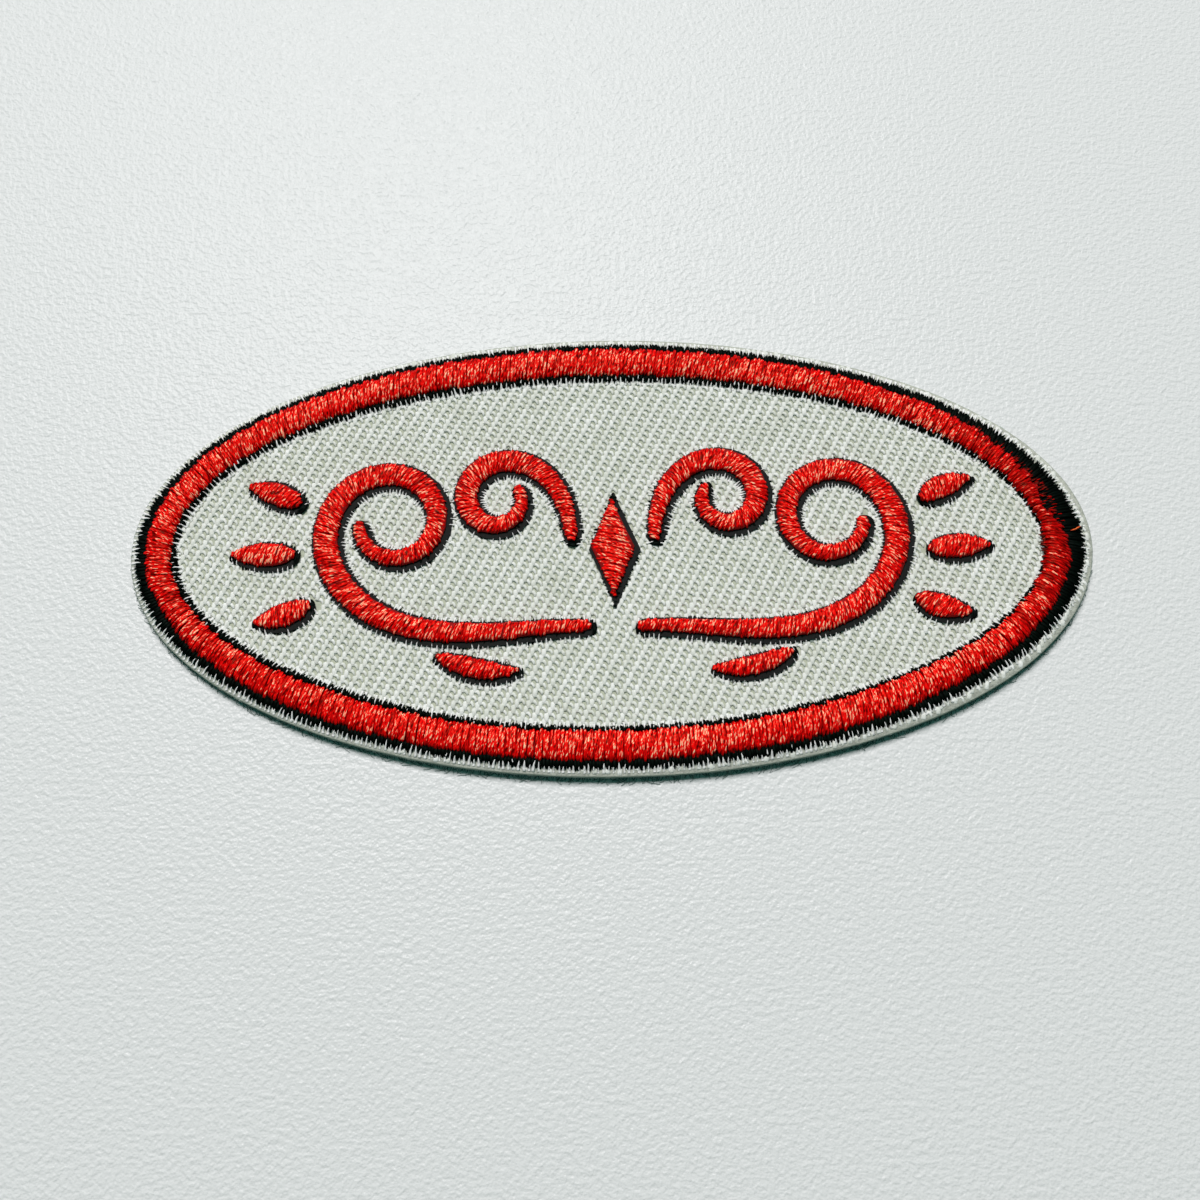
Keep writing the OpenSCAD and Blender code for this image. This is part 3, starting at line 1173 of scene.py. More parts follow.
@dataclass
class Ornament:
    """The mirrored pair of scrolls round a lozenge, each stroke over its black shadow."""

    red_shape: StrandShape
    black_shape: StrandShape
    materials: Materials
    field: Oval
    red: Thread = Thread(overhang=-0.05, end_play=0.12)
    black: Thread = Thread(width=0.40, thickness=0.22, pitch=0.31, end_play=0.14, overhang=0.10)
    red_inset: float = 0.12
    black_inset: float = 0.09
    # A narrow stroke's share of the full rise
    least_rise: float = 0.35

    def scale(self) -> Array:
        """Millimetres of the strokes' field along X and Y."""
        half_x, half_y = self.field.half_x - ORNAMENT_GAPS[0], self.field.half_y - ORNAMENT_GAPS[1]
        return np.array([half_x, half_y / ORNAMENT_RATIO])

    def rungs(self, stroke: Stroke, grow: float, pitch: float) -> tuple[Array, Array]:
        """Evenly spaced pairs of needle holes along a stroke.

        Args:
            stroke: The stroke.
            grow: How far its sides are moved out.
            pitch: Distance between stitches.

        Returns:
            Points on the right side and on the left side.
        """
        right, left = stroke.sides(self.scale(), grow)
        reach = reached((right + left) / 2)
        count = max(3, round(reach[-1] / pitch))
        at = (np.arange(count) + 0.5) * reach[-1] / count
        return line_at(right, reach, at), line_at(left, reach, at)

    def put(self, points: Array, side: Side, move: float = 0.0) -> Array:
        """Points of the plan turned over to a side and moved to the field's middle."""
        return points * [side.value, 1] + np.array([self.field.mid_x + move, self.field.mid_y - move])

    def red_stroke(self, node: str, start: Array, end: Array, seed: int) -> None:
        """A red satin column between pairs of needle holes."""
        row = SatinRow(self.red, self.red_shape, seed)
        span = np.linalg.norm(end - start, axis=1)
        rise = STROKE_RISE * np.minimum(1, self.least_rise + span / STROKE_WIDTH)
        stitches = row.lay(node + "_stitches", row.paths(start, end, CLOTH_TOP + SHADOW_RISE, rise))
        self.materials.red.cover(stitches, node, underlay(node, self.red_inset))

    def shadow(self, node: str, columns: list[tuple[Array, Array]], seed: int) -> None:
        """The low black stitches that show round the red strokes, between pairs of needle holes."""
        row = SatinRow(self.black, self.black_shape, seed)
        paths = [row.paths(start, end, CLOTH_TOP, np.full(len(start), SHADOW_RISE)) for start, end in columns]
        stitches = row.lay(node + "_stitches", np.concatenate(paths))
        self.materials.black.cover(stitches, node, underlay(node, self.black_inset))

    def build_side(self, side: Side, seed: int) -> None:
        """Builds the strokes and the shadow of one side."""
        word, columns = side.name.lower(), []
        for number, stroke in enumerate(STROKES):
            holes = (self.put(line, side) for line in self.rungs(stroke, 0.0, self.red.pitch))
            self.red_stroke(f"{word}_{stroke.name}", *holes, seed + number)
            rungs = self.rungs(stroke, SHADOW_EDGE, self.black.pitch)
            columns.append(tuple(self.put(line, side, SHADOW_MOVE) for line in rungs))
        self.shadow(f"{word}_shadow", columns, seed + len(STROKES))

    def lozenge_rungs(self, half: Array, tip: float, pitch: float, move: float) -> tuple[Array, Array]:
        """Pairs of needle holes down a lozenge."""
        count = round(2 * half[1] / pitch)
        y = half[1] * (1 - 2 * (np.arange(count) + 0.5) / count)
        x = np.maximum(half[0] * (1 - np.abs(y) / half[1]), tip)
        return tuple(self.put(np.stack([axis, y], axis=1), Side.RIGHT, move) for axis in (-x, x))

    def build_lozenge(self, seed: int) -> None:
        """Builds the lozenge and its shadow."""
        half = np.array(LOZENGE_SIZE) / 2
        self.red_stroke("lozenge", *self.lozenge_rungs(half, LOZENGE_TIP / 2, self.red.pitch, 0.0), seed)
        grown = half + SHADOW_EDGE * np.linalg.norm(half) / half[::-1]
        column = self.lozenge_rungs(grown, LOZENGE_TIP, self.black.pitch, SHADOW_MOVE)
        self.shadow("lozenge_shadow", [column], seed + 1)

    def build(self) -> None:
        """Builds both sides and the lozenge."""
        self.build_side(Side.RIGHT, 40)
        self.build_side(Side.LEFT, 60)
        self.build_lozenge(80)

    def covers(self, points: Array, margin: float) -> Array:
        """Which points in plan lie under the ornament, more than a margin inside its shadow."""
        reach = np.array(LOZENGE_SIZE) / 2
        lozenge = np.abs(points - self.put(np.zeros(2), Side.RIGHT, SHADOW_MOVE))
        covered = (lozenge / reach).sum(axis=1) < 1 - margin / reach[0]
        for side in Side:
            for stroke in STROKES:
                right, left = stroke.sides(self.scale(), SHADOW_EDGE)
                middle = self.put((right + left) / 2, side, SHADOW_MOVE)
                half = np.linalg.norm(left - right, axis=1) / 2 - margin
                for a, b, w in zip(middle, middle[1:], (half[1:] + half[:-1]) / 2):
                    if w > 0:
                        covered |= near_segment(points, a, b) < w
        return covered


def near_segment(points: Array, a: Array, b: Array) -> Array:
    """Distance of points from a straight piece of line."""
    along = b - a
    share = ((points - a) @ along / max(along @ along, TINY)).clip(0, 1)
    return np.linalg.norm(points - a - share[:, None] * along, axis=1)


# Cloth


@dataclass
class Cloth:
    """The cut oval of twill: its body, its woven floats and its cut edge."""

    rib_shape: StrandShape
    hook_shape: StrandShape
    end_shape: StrandShape
    materials: Materials
    outline: Oval
    stitched: Oval
    field: Oval
    ornament: Ornament
    body_top: float = 0.90
    rim_top: float = 0.96
    rim_width: float = 1.6
    edge_round: float = 0.10
    edge_waver: float = 0.05
    # Its waves: how many go round the cloth, each one's share of the height, and where it starts
    waves: tuple[tuple[int, float, float], ...] = ((9, 1.0, 0.6), (23, 0.7, 2.1), (61, 0.5, 4.0))
    outline_steps: int = 720
    # The wall draws in towards the table, and the cut runs wider at the front
    undercut: float = 0.28
    undercut_top: float = 0.50
    back_reach: float = 0.06
    front_reach: float = 0.26
    # Cut yarn ends in rows round the wall: how far apart, how high, how proud, and length, width and height
    end_pitch: float = 0.50
    end_heights: tuple[float, ...] = (0.21, 0.46, 0.71)
    end_proud: float = 0.06
    end_size: tuple[float, float, float] = (0.50, 0.26, 0.30)
    # How uneven the ends are: place in shares of the pitch, shares of proud, length and width, and height
    end_play: float = 0.25
    end_proud_shares: tuple[float, float] = (0.3, 1.5)
    end_length_shares: tuple[float, float] = (0.75, 1.1)
    end_width_shares: tuple[float, float] = (0.8, 1.15)
    end_height_play: tuple[float, float] = (0.03, 0.02)
    # Lowest height of an end, as a share of how tall it is
    end_low: float = 0.6
    # The weave's lattice: from rib to rib, and one pick up along a rib
    rib: tuple[float, float] = (1.0756, -0.0965)
    pick: tuple[float, float] = (0.277, 0.512)
    # How far floats run under the border, out to the rim's edge, and under the ornament
    under_border: tuple[float, float] = (0.45, 0.1)
    rim_inset: float = 0.26
    under_ornament: float = 0.3
    rib_widths: tuple[float, ...] = (0.46, 0.46)
    rib_heights: tuple[float, float] = (0.96, 1.06)
    rib_length: float = 0.80
    rib_bow: float = 0.03
    rib_lean: float = 0.02
    # The weft float is broad where it comes up and narrow where it goes under the rib
    hook_widths: tuple[float, ...] = (0.22, 0.28, 0.33, 0.40, 0.42)
    hook_heights: tuple[float, float] = (0.96, 1.05)
    # A weft float's line from below its rib's right side, over, and under the next rib up
    hook_line: tuple[tuple[float, float], ...] = (
        (0.72, -0.20), (0.72, -0.11), (0.69, 0.07), (0.59, 0.24), (0.42, 0.28), (0.30, 0.28),
    )
    float_thickness: float = 0.22
    # How uneven the floats are: turn in degrees, share of length, place, height, its waver, and width
    float_turn: float = 3.5
    float_lengths: tuple[float, float] = (0.92, 1.08)
    float_plays: tuple[float, float, float, float] = (0.02, 0.014, 0.012, 0.08)
    most_girth: float = 0.2

    def body(self) -> Piece:
        """The cloth's body: a filled oval, extruded, with a rounded and slightly wavy edge."""
        start_fresh()
        bpy.ops.mesh.primitive_circle_add(vertices=self.outline_steps, radius=1, fill_type="NGON")
        piece = added("cloth_body")
        edit_all()
        half = np.array([self.outline.half_x, self.outline.half_y])
        foot, brow = 1 - self.undercut / half, 1 - self.edge_round / half
        wall = self.rim_top - self.undercut_top - self.edge_round
        bpy.ops.transform.resize(value=(*(half * MM), 1))
        bpy.ops.transform.resize(value=(*foot, 1))
        for height, scale in ((self.undercut_top, 1 / foot), (wall, np.ones(2)), (self.edge_round, brow)):
            extrude((0, 0, height * MM), (*scale, 1))
        bpy.ops.mesh.inset(thickness=self.rim_width * MM)
        bpy.ops.mesh.inset(thickness=self.rim_width * MM / 4)
        bpy.ops.transform.translate(value=(0, 0, (self.body_top - self.rim_top) * MM))
        end_edit()
        verts = get_verts(piece)
        turn = np.arctan2(verts[:, 1] / self.outline.half_y, verts[:, 0] / self.outline.half_x)
        verts[:, :2] += self.outline.outward(turn) * self.reach(turn)[:, None] * MM
        set_verts(piece, verts)
        bpy.ops.object.shade_smooth_by_angle(angle=math.radians(50))
        return settle(piece, "twill", "ground_cloth", self.materials.cloth)

    def reach(self, turn: Array) -> Array:
        """How far a hand-fed hot knife cuts outside the outline at turns, in millimetres."""
        wave = sum(share * np.sin(number * turn + start) for number, share, start in self.waves)
        highest = sum(share for _, share, _ in self.waves)
        further = (1 - np.sin(turn)) / 2 * (self.front_reach - self.back_reach)
        return (wave / highest - 1) * self.edge_waver / 2 + self.back_reach + further

    def cut_ends(self) -> Piece:
        """The knobs of cut yarn that show in the wall, in rows one over the other."""
        random = np.random.default_rng(161)
        count = round(self.outline.length() / self.end_pitch)
        length, width, tall = self.end_size
        share = self.end_shape.stations - 0.5
        step, waver = self.end_height_play
        rows = []
        for row, height in enumerate(self.end_heights):
            shift = row / 2 + random.uniform(-self.end_play, self.end_play, count)
            turns = self.outline.even_turns(count) + shift * 2 * math.pi / count
            outward = self.outline.outward(turns)
            drawn_in = self.undercut * max(0.0, 1 - height / self.undercut_top)
            further = self.end_proud * random.uniform(*self.end_proud_shares, count)
            away = self.reach(turns) - drawn_in + further - width / 2
            middle = self.outline.at(turns) + outward * away[:, None]
            half = aside(outward) * (length * random.uniform(*self.end_length_shares, count))[:, None]
            plan = middle[:, None] + half[:, None] * share[None, :, None]
            level = height + random.normal(0, step, (count, 1)) + random.normal(0, waver, plan.shape[:2])
            rows.append(raised(plan, level.clip(self.end_low * tall, None)))
        paths = np.concatenate(rows)
        swell = random.uniform(*self.end_width_shares, (len(paths), 1))
        tones = random.uniform(0, 1, len(paths))
        piece = self.end_shape.lay("cut_yarn_ends", paths, width * swell, tall * swell, tones)
        return settle(piece, "twill", material=self.materials.cut_yarn)

    def lattice(self, middle: Array) -> Array:
        """Places in plan of the weave's cells whose float, with its middle that far off, can be seen."""
        reach = int(2 * self.outline.half_x)
        i, j = np.meshgrid(np.arange(-reach, reach), np.arange(-reach, reach))
        cells = i.reshape(-1, 1) * np.array(self.rib) + j.reshape(-1, 1) * np.array(self.pick)
        floats = cells + middle
        inside, outside = self.under_border
        on_rim = self.outline.grown(-self.rim_inset).level(floats) < 1
        on_rim &= self.stitched.grown(-outside).level(floats) > 1
        seen = (self.field.grown(inside).level(floats) < 1) | on_rim
        return cells[seen][~self.ornament.covers(floats[seen], self.under_ornament)]

    def floats(
        self,
        name: str,
        shape: StrandShape,
        line: Array,
        widths: Sequence[float],
        heights: tuple[float, float],
        seed: int,
    ) -> Piece:
        """One yarn's floats on all the cells.

        Args:
            name: The piece's name.
            shape: The strand that is copied.
            line: Plan of a float's middle line at the strand's stations, from its cell's place.
            widths: Widths of a float, evenly spaced along it.
            heights: Height of its top at its ends and at its middle.
            seed: Seed of the unevenness.

        Returns:
            The piece.
        """
        random = np.random.default_rng(seed)
        low, top = heights
        place, level, waver, girth = self.float_plays
        middle = line.mean(axis=0)
        cells = self.lattice(middle)
        count, stations = len(cells), len(shape.stations)
        turn = np.radians(random.normal(0, self.float_turn, count))[:, None, None]
        away = (line - middle)[None] * random.uniform(*self.float_lengths, (count, 1, 1))
        turned = away * np.cos(turn) + aside(away) * np.sin(turn)
        plan = cells[:, None] + middle + turned + random.normal(0, place, (count, 1, 2))
        lift = low + (top - low) * arch(shape.stations) - self.float_thickness / 2
        height = lift + random.normal(0, level, (count, 1)) + random.normal(0, waver, (count, stations))
        swell = 1 + random.normal(0, girth, (count, stations)).clip(-self.most_girth, self.most_girth)
        tones = random.uniform(0, 1, count)
        width = np.interp(shape.stations, np.linspace(0, 1, len(widths)), widths)
        piece = shape.lay(name, raised(plan, height), width * swell, self.float_thickness * swell, tones)
        return settle(piece, "twill", material=self.materials.yarn)

    def rib_line(self) -> Array:
        """A warp float's middle line, upright and a little bowed."""
        share = self.rib_shape.stations
        bow = self.rib_bow * np.sin(math.pi * share) - self.rib_lean * (1 - 2 * share)
        return np.stack([bow, (share - 0.5) * self.rib_length], axis=1)

    def build(self, table: Piece, loose: LooseFibres, fibres: list[Piece]) -> None:
        """Args:
            table: Not used.
            loose: Maker of the fuzz at its foot.
            fibres: Not used.
        """
        piece = self.body()
        knots = np.array(self.hook_line)
        reach = reached(knots)
        hook = line_at(knots, reach, self.hook_shape.stations * reach[-1])
        rib = self.rib_line()
        warp = self.floats("twill_warp", self.rib_shape, rib, self.rib_widths, self.rib_heights, 101)
        weft = self.floats("twill_weft", self.hook_shape, hook, self.hook_widths, self.hook_heights, 102)
        edge = [self.cut_ends(), loose.edge_fuzz(self)]


@dataclass
class LooseFibres:
    """Fine ends of yarn: spikes between the black stitches, and fuzz at the foot of the cut edge."""

    shape: StrandShape
    foot_shape: StrandShape
    materials: Materials
    width: float = 0.38
    spacing: float = 0.44
    # How far a spike stands out of the even row, and how far a fibre does, as shares of their spacing
    spike_play: float = 0.13
    fuzz_play: float = 0.4
    # How far a spike reaches, its shortest and longest share of that, how rare the long ones are, its drift
    reach: float = 0.44
    shortest: float = 0.32
    longest: float = 1.45
    rarity: float = 1.6
    drift: float = 0.16
    # How far it starts behind the edge, from where it climbs, how deep it starts, and how high over the black
    back: float = 0.34
    climb_back: float = 0.12
    sink: float = 0.06
    proud: float = 0.02
    ornament_share: float = 0.55
    ornament_width: float = 0.85
    # Share of the ornament's edge that has spikes
    ornament_kept: float = 0.8
    width_shares: tuple[float, float] = (0.65, 1.2)
    flatness: float = 0.6
    fuzz_width: float = 0.09
    fuzz_spacing: float = 0.18
    fuzz_reach: tuple[float, float] = (0.30, 0.98)
    fuzz_rarity: float = 1.8
    fuzz_back_share: float = 0.2
    # Sideways lean and curl of a fibre, the heights at which it starts, and where it ends
    fuzz_lean: float = 0.65
    fuzz_curl: float = 0.3
    fuzz_starts: tuple[float, float] = (0.12, 0.40)
    fuzz_low: float = 0.06
    # Tones of its shortest fibres, low for painted shade, and of its longest, and how far one strays from
    # them
    fuzz_tones: tuple[float, float] = (-1.0, 2.0)
    fuzz_tone_play: float = 0.5

    def spikes(
        self, edge: Array, inwards: Array, top: float, seed: int, share_of_reach: float = 1.0
    ) -> Array:
        """Paths of wedges of cloth that stand up between stitch ends and lie over the black.

        Args:
            edge: Where they meet the black's edge, in plan.
            inwards: Unit directions over the black.
            top: Height of the black stitches there.
            seed: Seed of the unevenness.
            share_of_reach: How long they are, as a share of the border's.

        Returns:
            Points of each spike at the strand's stations.
        """
        random = np.random.default_rng(seed)
        count, share = len(edge), self.shape.stations[None]
        length = self.shortest + (self.longest - self.shortest) * random.uniform(0, 1, count) ** self.rarity
        reach = self.reach * share_of_reach * length[:, None]
        sideways = share**2 * random.normal(0, self.drift, count)[:, None] * reach
        ahead = share * (reach + self.back) - self.back
        plan = edge[:, None] + inwards[:, None] * ahead[:, :, None]
        plan = plan + aside(inwards)[:, None] * sideways[:, :, None]
        over = (ahead + self.climb_back).clip(0, None) / (reach + self.climb_back)
        rise = top - CLOTH_TOP + self.sink + self.proud
        return raised(plan, CLOTH_TOP - self.sink + rise * (1 - (1 - over) ** 2))

    def uneven_turns(self, oval: Oval, spacing: float, play: float, seed: int) -> Array:
        """Turns of points along an oval, each moved by up to a share of their spacing."""
        random = np.random.default_rng(seed)
        count = round(oval.length() / spacing)
        return oval.even_turns(count) + random.uniform(-play, play, count) * 2 * math.pi / count

    def lay(self, name: str, paths: Array, width: float, seed: int) -> Piece:
        """Copies the fibre along paths as one piece."""
        random = np.random.default_rng(seed)
        widths = width * random.uniform(*self.width_shares, (len(paths), 1))
        piece = self.shape.lay(name, paths, widths, widths * self.flatness, random.uniform(0, 1, len(paths)))
        return settle(piece, "twill", material=self.materials.fibre)

    def border_spikes(self, border: Border) -> Piece:
        """Spikes along both cloth edges of the border."""
        lines = border.needle_lines()
        paths = []
        for line, way, seed in ((lines["outer_edging"][0], -1, 121), (lines["inner_edging"][1], 1, 122)):
            turns = self.uneven_turns(line.oval, self.spacing, self.spike_play, seed)
            over = line.oval.outward(turns) * way
            paths.append(self.spikes(line.holes(turns), over, CLOTH_TOP + LINE_RISE, seed + 2))
        return self.lay("border_spikes", np.concatenate(paths), self.width, 125)

    def ornament_spikes(self, ornament: Ornament) -> Piece:
        """Spikes along the edges of the ornament's shadows."""
        random = np.random.default_rng(131)
        roots, ways = [], []
        for side in Side:
            for stroke in STROKES:
                rungs = ornament.rungs(stroke, SHADOW_EDGE, self.spacing)
                right, left = (ornament.put(line, side, SHADOW_MOVE) for line in rungs)
                across = unit(left - right)
                for edge, way in ((right, across), (left, -across)):
                    kept = random.uniform(0, 1, len(edge)) < self.ornament_kept
                    roots.append(edge[kept])
                    ways.append(way[kept])
        edge, inwards = np.concatenate(roots), np.concatenate(ways)
        paths = self.spikes(edge, inwards, CLOTH_TOP + SHADOW_RISE, 132, self.ornament_share)
        return self.lay("ornament_spikes", paths, self.width * self.ornament_width, 133)

    def edge_fuzz(self, cloth: Cloth) -> Piece:
        """Short fibres that curl from the foot of the cut edge down to the table, the short ones dark as
        painted shade.
        """
        random = np.random.default_rng(141)
        turns = self.uneven_turns(cloth.outline, self.fuzz_spacing, self.fuzz_play, 143)
        count, stations = len(turns), self.foot_shape.stations
        normal = cloth.outline.outward(turns)
        roots = cloth.outline.at(turns) + normal * (cloth.reach(turns) - cloth.undercut / 2)[:, None]
        to_front = self.fuzz_back_share + (1 - self.fuzz_back_share) * (1 - np.sin(turns)) / 2
        shortest, longest = self.fuzz_reach
        long = random.uniform(0, 1, count) ** self.fuzz_rarity
        reach = (shortest + (longest - shortest) * long) * to_front + cloth.undercut / 2
        lean = random.normal(0, self.fuzz_lean, count)[:, None, None]
        share = stations[None, :, None]
        curl = normal[:, None] * (1 - self.fuzz_curl * share) + aside(normal)[:, None] * (lean * share)
        plan = roots[:, None] + share * reach[:, None, None] * curl
        start = random.uniform(*self.fuzz_starts, count)[:, None]
        height = self.fuzz_low + (start - self.fuzz_low) * (1 - stations[None]) ** 2
        widths = self.fuzz_width * random.uniform(*self.width_shares, (count, 1))
        # Short fibres near the wall get low tones as painted shade
        dark, pale = self.fuzz_tones
        tones = (pale - dark) * long + dark + random.uniform(-self.fuzz_tone_play, self.fuzz_tone_play, count)
        piece = self.foot_shape.lay("edge_fuzz", raised(plan, height), widths, widths * self.flatness, tones)
        return settle(piece, "twill", material=self.materials.foot_fibre)


@dataclass(frozen=True)
class Scatter:
    """Short threads strewn over the black where the band is thin: how many, where, how low, what size."""

    count: int
    turns: tuple[float, float]
    depths: tuple[float, float]
    low: float
    width: float
    half_length: tuple[float, float]


@dataclass
class StrayEnds:
    """Single red threads outside the even rows: dashes where the band is thin, a bundle and a cut end."""

    shape: StrandShape
    materials: Materials
    band: Oval
    bright: Scatter = Scatter(86, (3.0, 33.0), (0.0, 1.25), 1.26, 0.09, (0.14, 0.28))
    dim: Scatter = Scatter(60, (8.0, 44.0), (-0.1, 0.9), 1.22, 0.18, (0.20, 0.45))
    # A dash's lean against the stitches, its rise, and how much higher it lies towards the band
    dash_lean: float = 0.2
    dash_rise: float = 0.10
    dash_climb: float = 0.16
    # The bundle of threads: place, size, how many, and their half length, lean, low ends, rise and width
    bundle_place: tuple[float, float] = (39.95, -0.45)
    bundle_size: tuple[float, float] = (0.62, 1.7)
    bundle_threads: int = 11
    bundle_drift: float = 0.09
    bundle_reach: tuple[float, float] = (0.36, 0.56)
    bundle_lean: tuple[float, float] = (0.05, 0.16)
    bundle_lows: tuple[float, float] = (1.06, 1.20)
    bundle_rise: float = 0.25
    bundle_width: float = 0.17
    # The cut end lies over the outer black line at the right
    cut_width: float = 0.2
    cut_end: tuple[tuple[float, float, float], ...] = (
        (42.55, 0.80, 1.30), (42.95, 0.84, 1.46), (43.25, 1.02, 1.52), (43.55, 1.16, 1.44),
    )
    # How lumpy the threads are and at most, their flatness, and their tones
    lump: float = 0.1
    most_lump: float = 0.25
    flatness: float = 0.8
    tones: tuple[float, float] = (-0.4, 0.7)

    def straight(self, start: Array, end: Array, low: Array, rise: float) -> Array:
        """Paths between pairs of points in plan, arched over their own ends at a low height."""
        share = self.shape.stations
        return raised(between(start, end, share), low[:, None] + rise * arch(share)[None])

    def lay(self, name: str, paths: Array, width: float, material: Material, seed: int) -> None:
        """Copies the strand along paths as one red piece."""
        random = np.random.default_rng(seed)
        swell = 1 + random.normal(0, self.lump, paths.shape[:2]).clip(-self.most_lump, self.most_lump)
        tones = random.uniform(*self.tones, len(paths))
        piece = self.shape.lay(name, paths, width * swell, width * self.flatness * swell, tones)
        settle(piece, "red_thread", material=material)

    def strew(self, name: str, scatter: Scatter, material: Material, seed: int) -> None:
        """Lays short threads over the outer black line, in the way of the stitches.

        Args:
            name: The piece's name.
            scatter: How many, where, and their size.
            material: Their material.
            seed: Seed of their places.
        """
        random = np.random.default_rng(seed)
        turns = np.radians(random.uniform(*scatter.turns, scatter.count))
        depth = random.uniform(*scatter.depths, scatter.count)
        outward = self.band.outward(turns)
        middle = self.band.at(turns) - outward * depth[:, None]
        half = outward - self.dash_lean * aside(outward)
        half *= random.uniform(*scatter.half_length, (scatter.count, 1))
        heights = scatter.low + self.dash_climb * depth.clip(0, None)
        paths = self.straight(middle + half, middle - half, heights, self.dash_rise)
        self.lay(name, paths, scatter.width, material, seed + 1)

    def build(self) -> None:
        """Builds the dashes, the bundle and the cut end."""
        self.strew("dim_dashes", self.dim, self.materials.dim_red, 155)
        self.strew("stray_dashes", self.bright, self.materials.red.thread, 151)
        random = np.random.default_rng(157)
        count = self.bundle_threads
        width, height = self.bundle_size
        spread = random.normal(0, self.bundle_drift, count), np.linspace(-0.5, 0.5, count) * height
        place = np.array(self.bundle_place) + np.stack(spread, axis=1)
        reach = random.uniform(*self.bundle_reach, count) * width
        half = np.stack([reach, random.normal(*self.bundle_lean, count)], axis=1)
        low = random.uniform(*self.bundle_lows, count)
        paths = self.straight(place + half, place - half, low, self.bundle_rise)
        self.lay("thread_bundle", paths, self.bundle_width, self.materials.dim_red, 153)
        line = line_at(np.array(self.cut_end), np.linspace(0, 1, len(self.cut_end)), self.shape.stations)
        self.lay("cut_thread_end", line[None], self.cut_width, self.materials.stray, 154)


# Stage


@dataclass(frozen=True)
class PhotoCamera:
    """The camera of the photograph, for an image of 1200 by 1200 pixels."""

    image: float = 1200.0
    focal_px: float = 1203.0
    aim_px: tuple[float, float] = (614.6, 549.3)
    distance: float = 112.65
    elevation: float = 73.37
    azimuth: float = -3.45
    roll: float = 2.50
    sensor: float = 36.0

    def build(self) -> None:
        """Places the camera so that the patch's origin falls on the aimed pixel."""
        az, el, roll = (math.radians(a) for a in (self.azimuth, self.elevation, self.roll))
        back = Vector((math.sin(az) * math.cos(el), -math.cos(az) * math.cos(el), math.sin(el)))
        level = Vector((math.cos(az), math.sin(az), 0))
        upright = back.cross(level)
        right = level * math.cos(roll) + upright * math.sin(roll)
        up = upright * math.cos(roll) - level * math.sin(roll)
        off_x, off_y = ((aim - self.image / 2) / self.focal_px for aim in self.aim_px)
        place = (back - right * off_x + up * off_y) * self.distance * MM
        data = bpy.data.cameras.new("photo_camera")
        data.sensor_width = self.sensor
        data.lens = self.focal_px / self.image * self.sensor
        data.clip_start = 0.005
        camera = bpy.data.objects.new("photo_camera", data)
        camera.matrix_world = Matrix((*zip(right, up, back, place), (0, 0, 0, 1)))
        bpy.context.scene.collection.objects.link(camera)
        bpy.context.scene.camera = camera


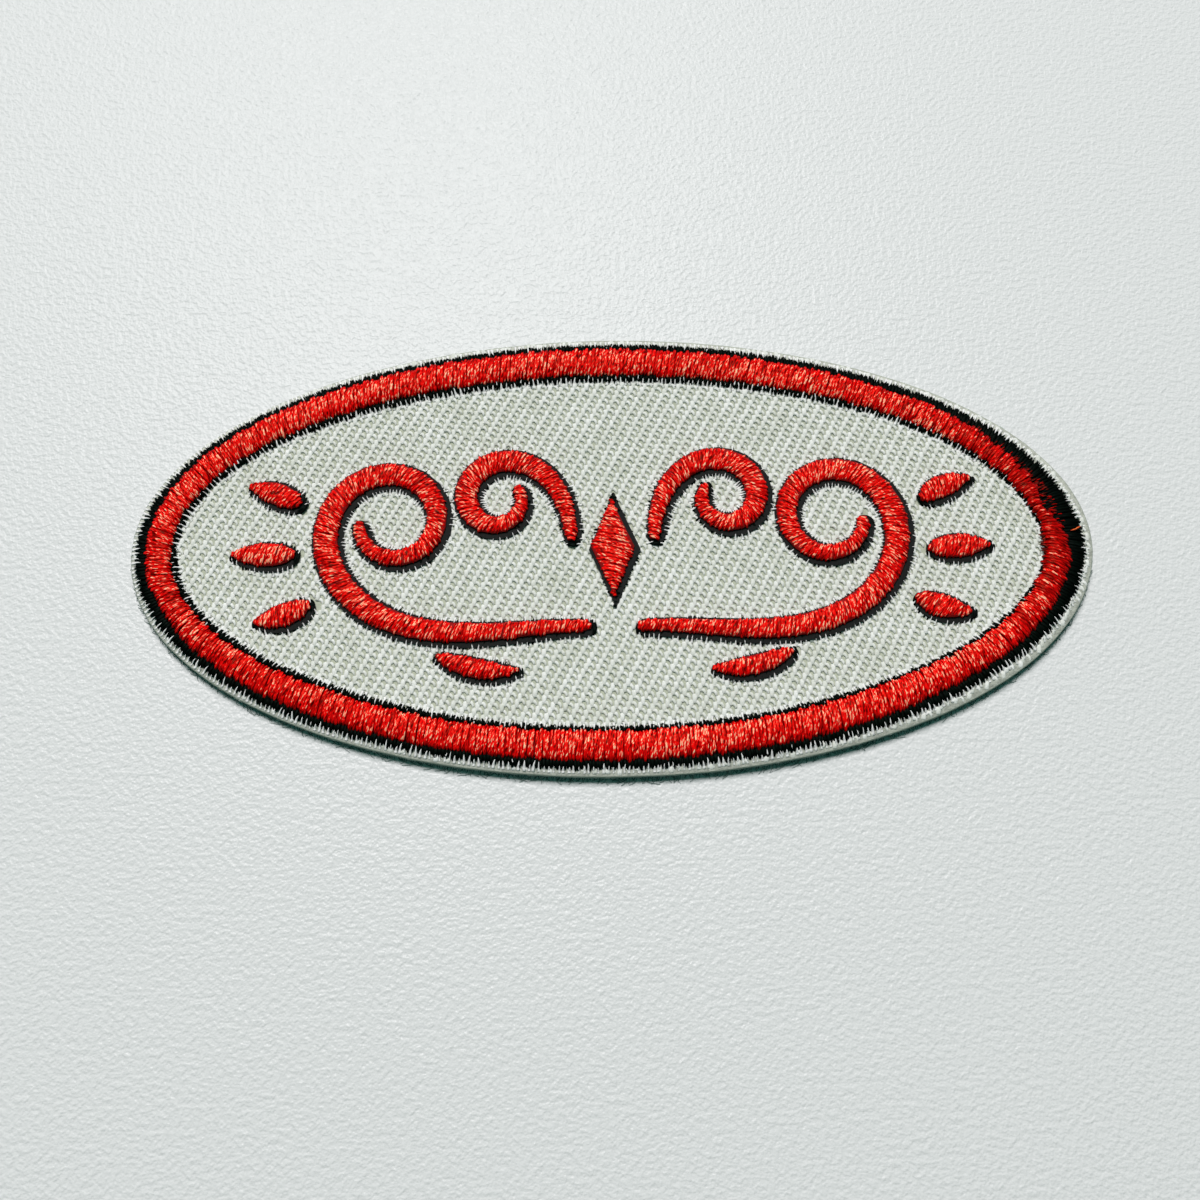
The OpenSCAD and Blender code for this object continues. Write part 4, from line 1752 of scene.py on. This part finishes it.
@dataclass(frozen=True)
class Studio:
    """A pale table and soft light from above and behind on the left."""

    table_size: float = 3.0
    table_colour: Colour = shade(0.72, 0.72, 0.712)
    # The paper sweep: where it leaves the table, how it turns up, and how high it goes
    sweep_radius: float = 0.55
    sweep_bend: float = 0.35
    sweep_height: float = 1.3
    sweep_sides: int = 96
    sweep_steps: int = 10
    paper: Colour = shade(0.68, 0.68, 0.67)
    paper_glow: float = 0.16
    sky_colour: Colour = shade(0.22, 1.0, 0.85)
    sky_strength: float = 0.10

    def table(self) -> Piece:
        """The table, with the fine pebble of its laminate."""
        start_fresh()
        bpy.ops.mesh.primitive_plane_add(size=self.table_size)
        piece = added("table")
        recipe = Recipe("table_laminate")
        place = recipe.place_mm()
        pebble, fine = recipe.noise(place, 2.1, detail=1.0), recipe.noise(place, 5.0)
        height = recipe.plus(pebble, recipe.times(fine, 0.3))
        laminate = recipe.finish(
            Base_Color=recipe.tinted(recipe.remap(pebble, 0.3, 0.7, 0.97), self.table_colour),
            Normal=recipe.bump(height, 0.12),
            Roughness=0.25,
            Specular_IOR_Level=0.12,
        )
        dress(piece, laminate)
        return piece

    def backdrop(self) -> None:
        """A pale paper sweep round the table. Only the camera sees it, so it leaves the light as it is."""
        start_fresh()
        bpy.ops.mesh.primitive_circle_add(vertices=self.sweep_sides, radius=self.sweep_radius)
        piece = added("backdrop")
        edit_all()
        turns = np.linspace(0, math.pi / 2, self.sweep_steps + 1)
        reach = self.sweep_radius + self.sweep_bend * np.sin(turns)
        height = self.sweep_bend * (1 - np.cos(turns))
        reach, height = np.append(reach, reach[-1]), np.append(height, self.sweep_height)
        for rise, growth in zip(np.diff(height), reach[1:] / reach[:-1]):
            extrude((0, 0, rise), (growth, growth, 1))
        end_edit(inside=True)
        bpy.ops.object.shade_smooth()
        recipe = Recipe("backdrop_paper")
        grain = recipe.noise(recipe.place_mm(), 0.02, detail=3.0)
        paper = recipe.finish(
            Base_Color=recipe.tinted(recipe.remap(grain, 0.3, 0.7, 0.97), self.paper),
            Roughness=0.9,
            Specular_IOR_Level=0.1,
            Emission_Color=self.paper,
            Emission_Strength=self.paper_glow,
        )
        dress(piece, paper)
        piece.visible_diffuse = piece.visible_glossy = piece.visible_shadow = False
        piece.visible_transmission = piece.visible_volume_scatter = False

    def lamp(
        self, name: str, place: Sequence[float], size: float, power: float, colour: Sequence[float]
    ) -> None:
        """An area light that looks at the patch.

        Args:
            name: The light's name.
            place: Its place, in metres.
            size: Its side, in metres.
            power: Its power, in watts.
            colour: Its colour.
        """
        data = bpy.data.lights.new(name, "AREA")
        data.size = size
        data.energy = power
        data.color = colour
        lamp = bpy.data.objects.new(name, data)
        lamp.location = place
        lamp.rotation_euler = (-Vector(place)).to_track_quat("-Z", "Y").to_euler()
        bpy.context.scene.collection.objects.link(lamp)

    def light(self) -> None:
        """Sets the soft key, a faint sheen lamp and the sky, and shows colours as they are."""
        self.lamp("key", (-0.15, 0.76, 1.31), 0.65, 27.0, (1.0, 0.965, 0.98))
        self.lamp("sheen", (-0.20, 0.51, 0.65), 0.30, 0.2, (1.0, 0.98, 1.0))
        world = bpy.data.worlds.new("studio")
        world.use_nodes = True
        sky = world.node_tree.nodes["Background"]
        sky.inputs["Color"].default_value = self.sky_colour
        sky.inputs["Strength"].default_value = self.sky_strength
        bpy.context.scene.world = world
        bpy.context.scene.view_settings.view_transform = "Standard"


def main() -> None:
    """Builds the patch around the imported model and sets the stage."""
    logging.basicConfig(level=logging.INFO, format="%(name)s %(message)s")
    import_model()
    PhotoCamera().build()
    studio = Studio()
    table = studio.table()
    studio.backdrop()
    studio.light()
    materials = Materials.build()
    long_stitch = StrandShape(Ends.TUCKED, sides=6, rings=14, tip=0.25)
    short_stitch = StrandShape(Ends.TUCKED, sides=5, rings=8, tip=0.12, taper=0.25)
    rib_float = StrandShape(Ends.TUCKED, sides=6, rings=5, tip=0.75, flatness=0.3)
    hook_float = StrandShape(Ends.TUCKED, sides=5, rings=6, tip=0.4)
    cut_end = StrandShape(Ends.TUCKED, sides=5, rings=4, tip=0.45, taper=0.4)
    fibre = StrandShape(Ends.FRAYED, sides=4, rings=5, tip=0.06)
    foot_fibre = StrandShape(Ends.FRAYED, sides=4, rings=5, tip=0.45)
    border = Border(long_stitch, short_stitch, materials)
    border.build()
    stitched, band, _, field = border.ovals()
    ornament = Ornament(long_stitch, short_stitch, materials, field)
    ornament.build()
    StrayEnds(short_stitch, materials, band).build()
    loose = LooseFibres(fibre, foot_fibre, materials)
    fibres = [loose.border_spikes(border), loose.ornament_spikes(ornament)]
    shapes = rib_float, hook_float, cut_end
    cloth = Cloth(*shapes, materials, Oval.of_node("ground_cloth"), stitched, field, ornament)
    cloth.build(table, loose, fibres)


if __name__ == "__main__":
    main()
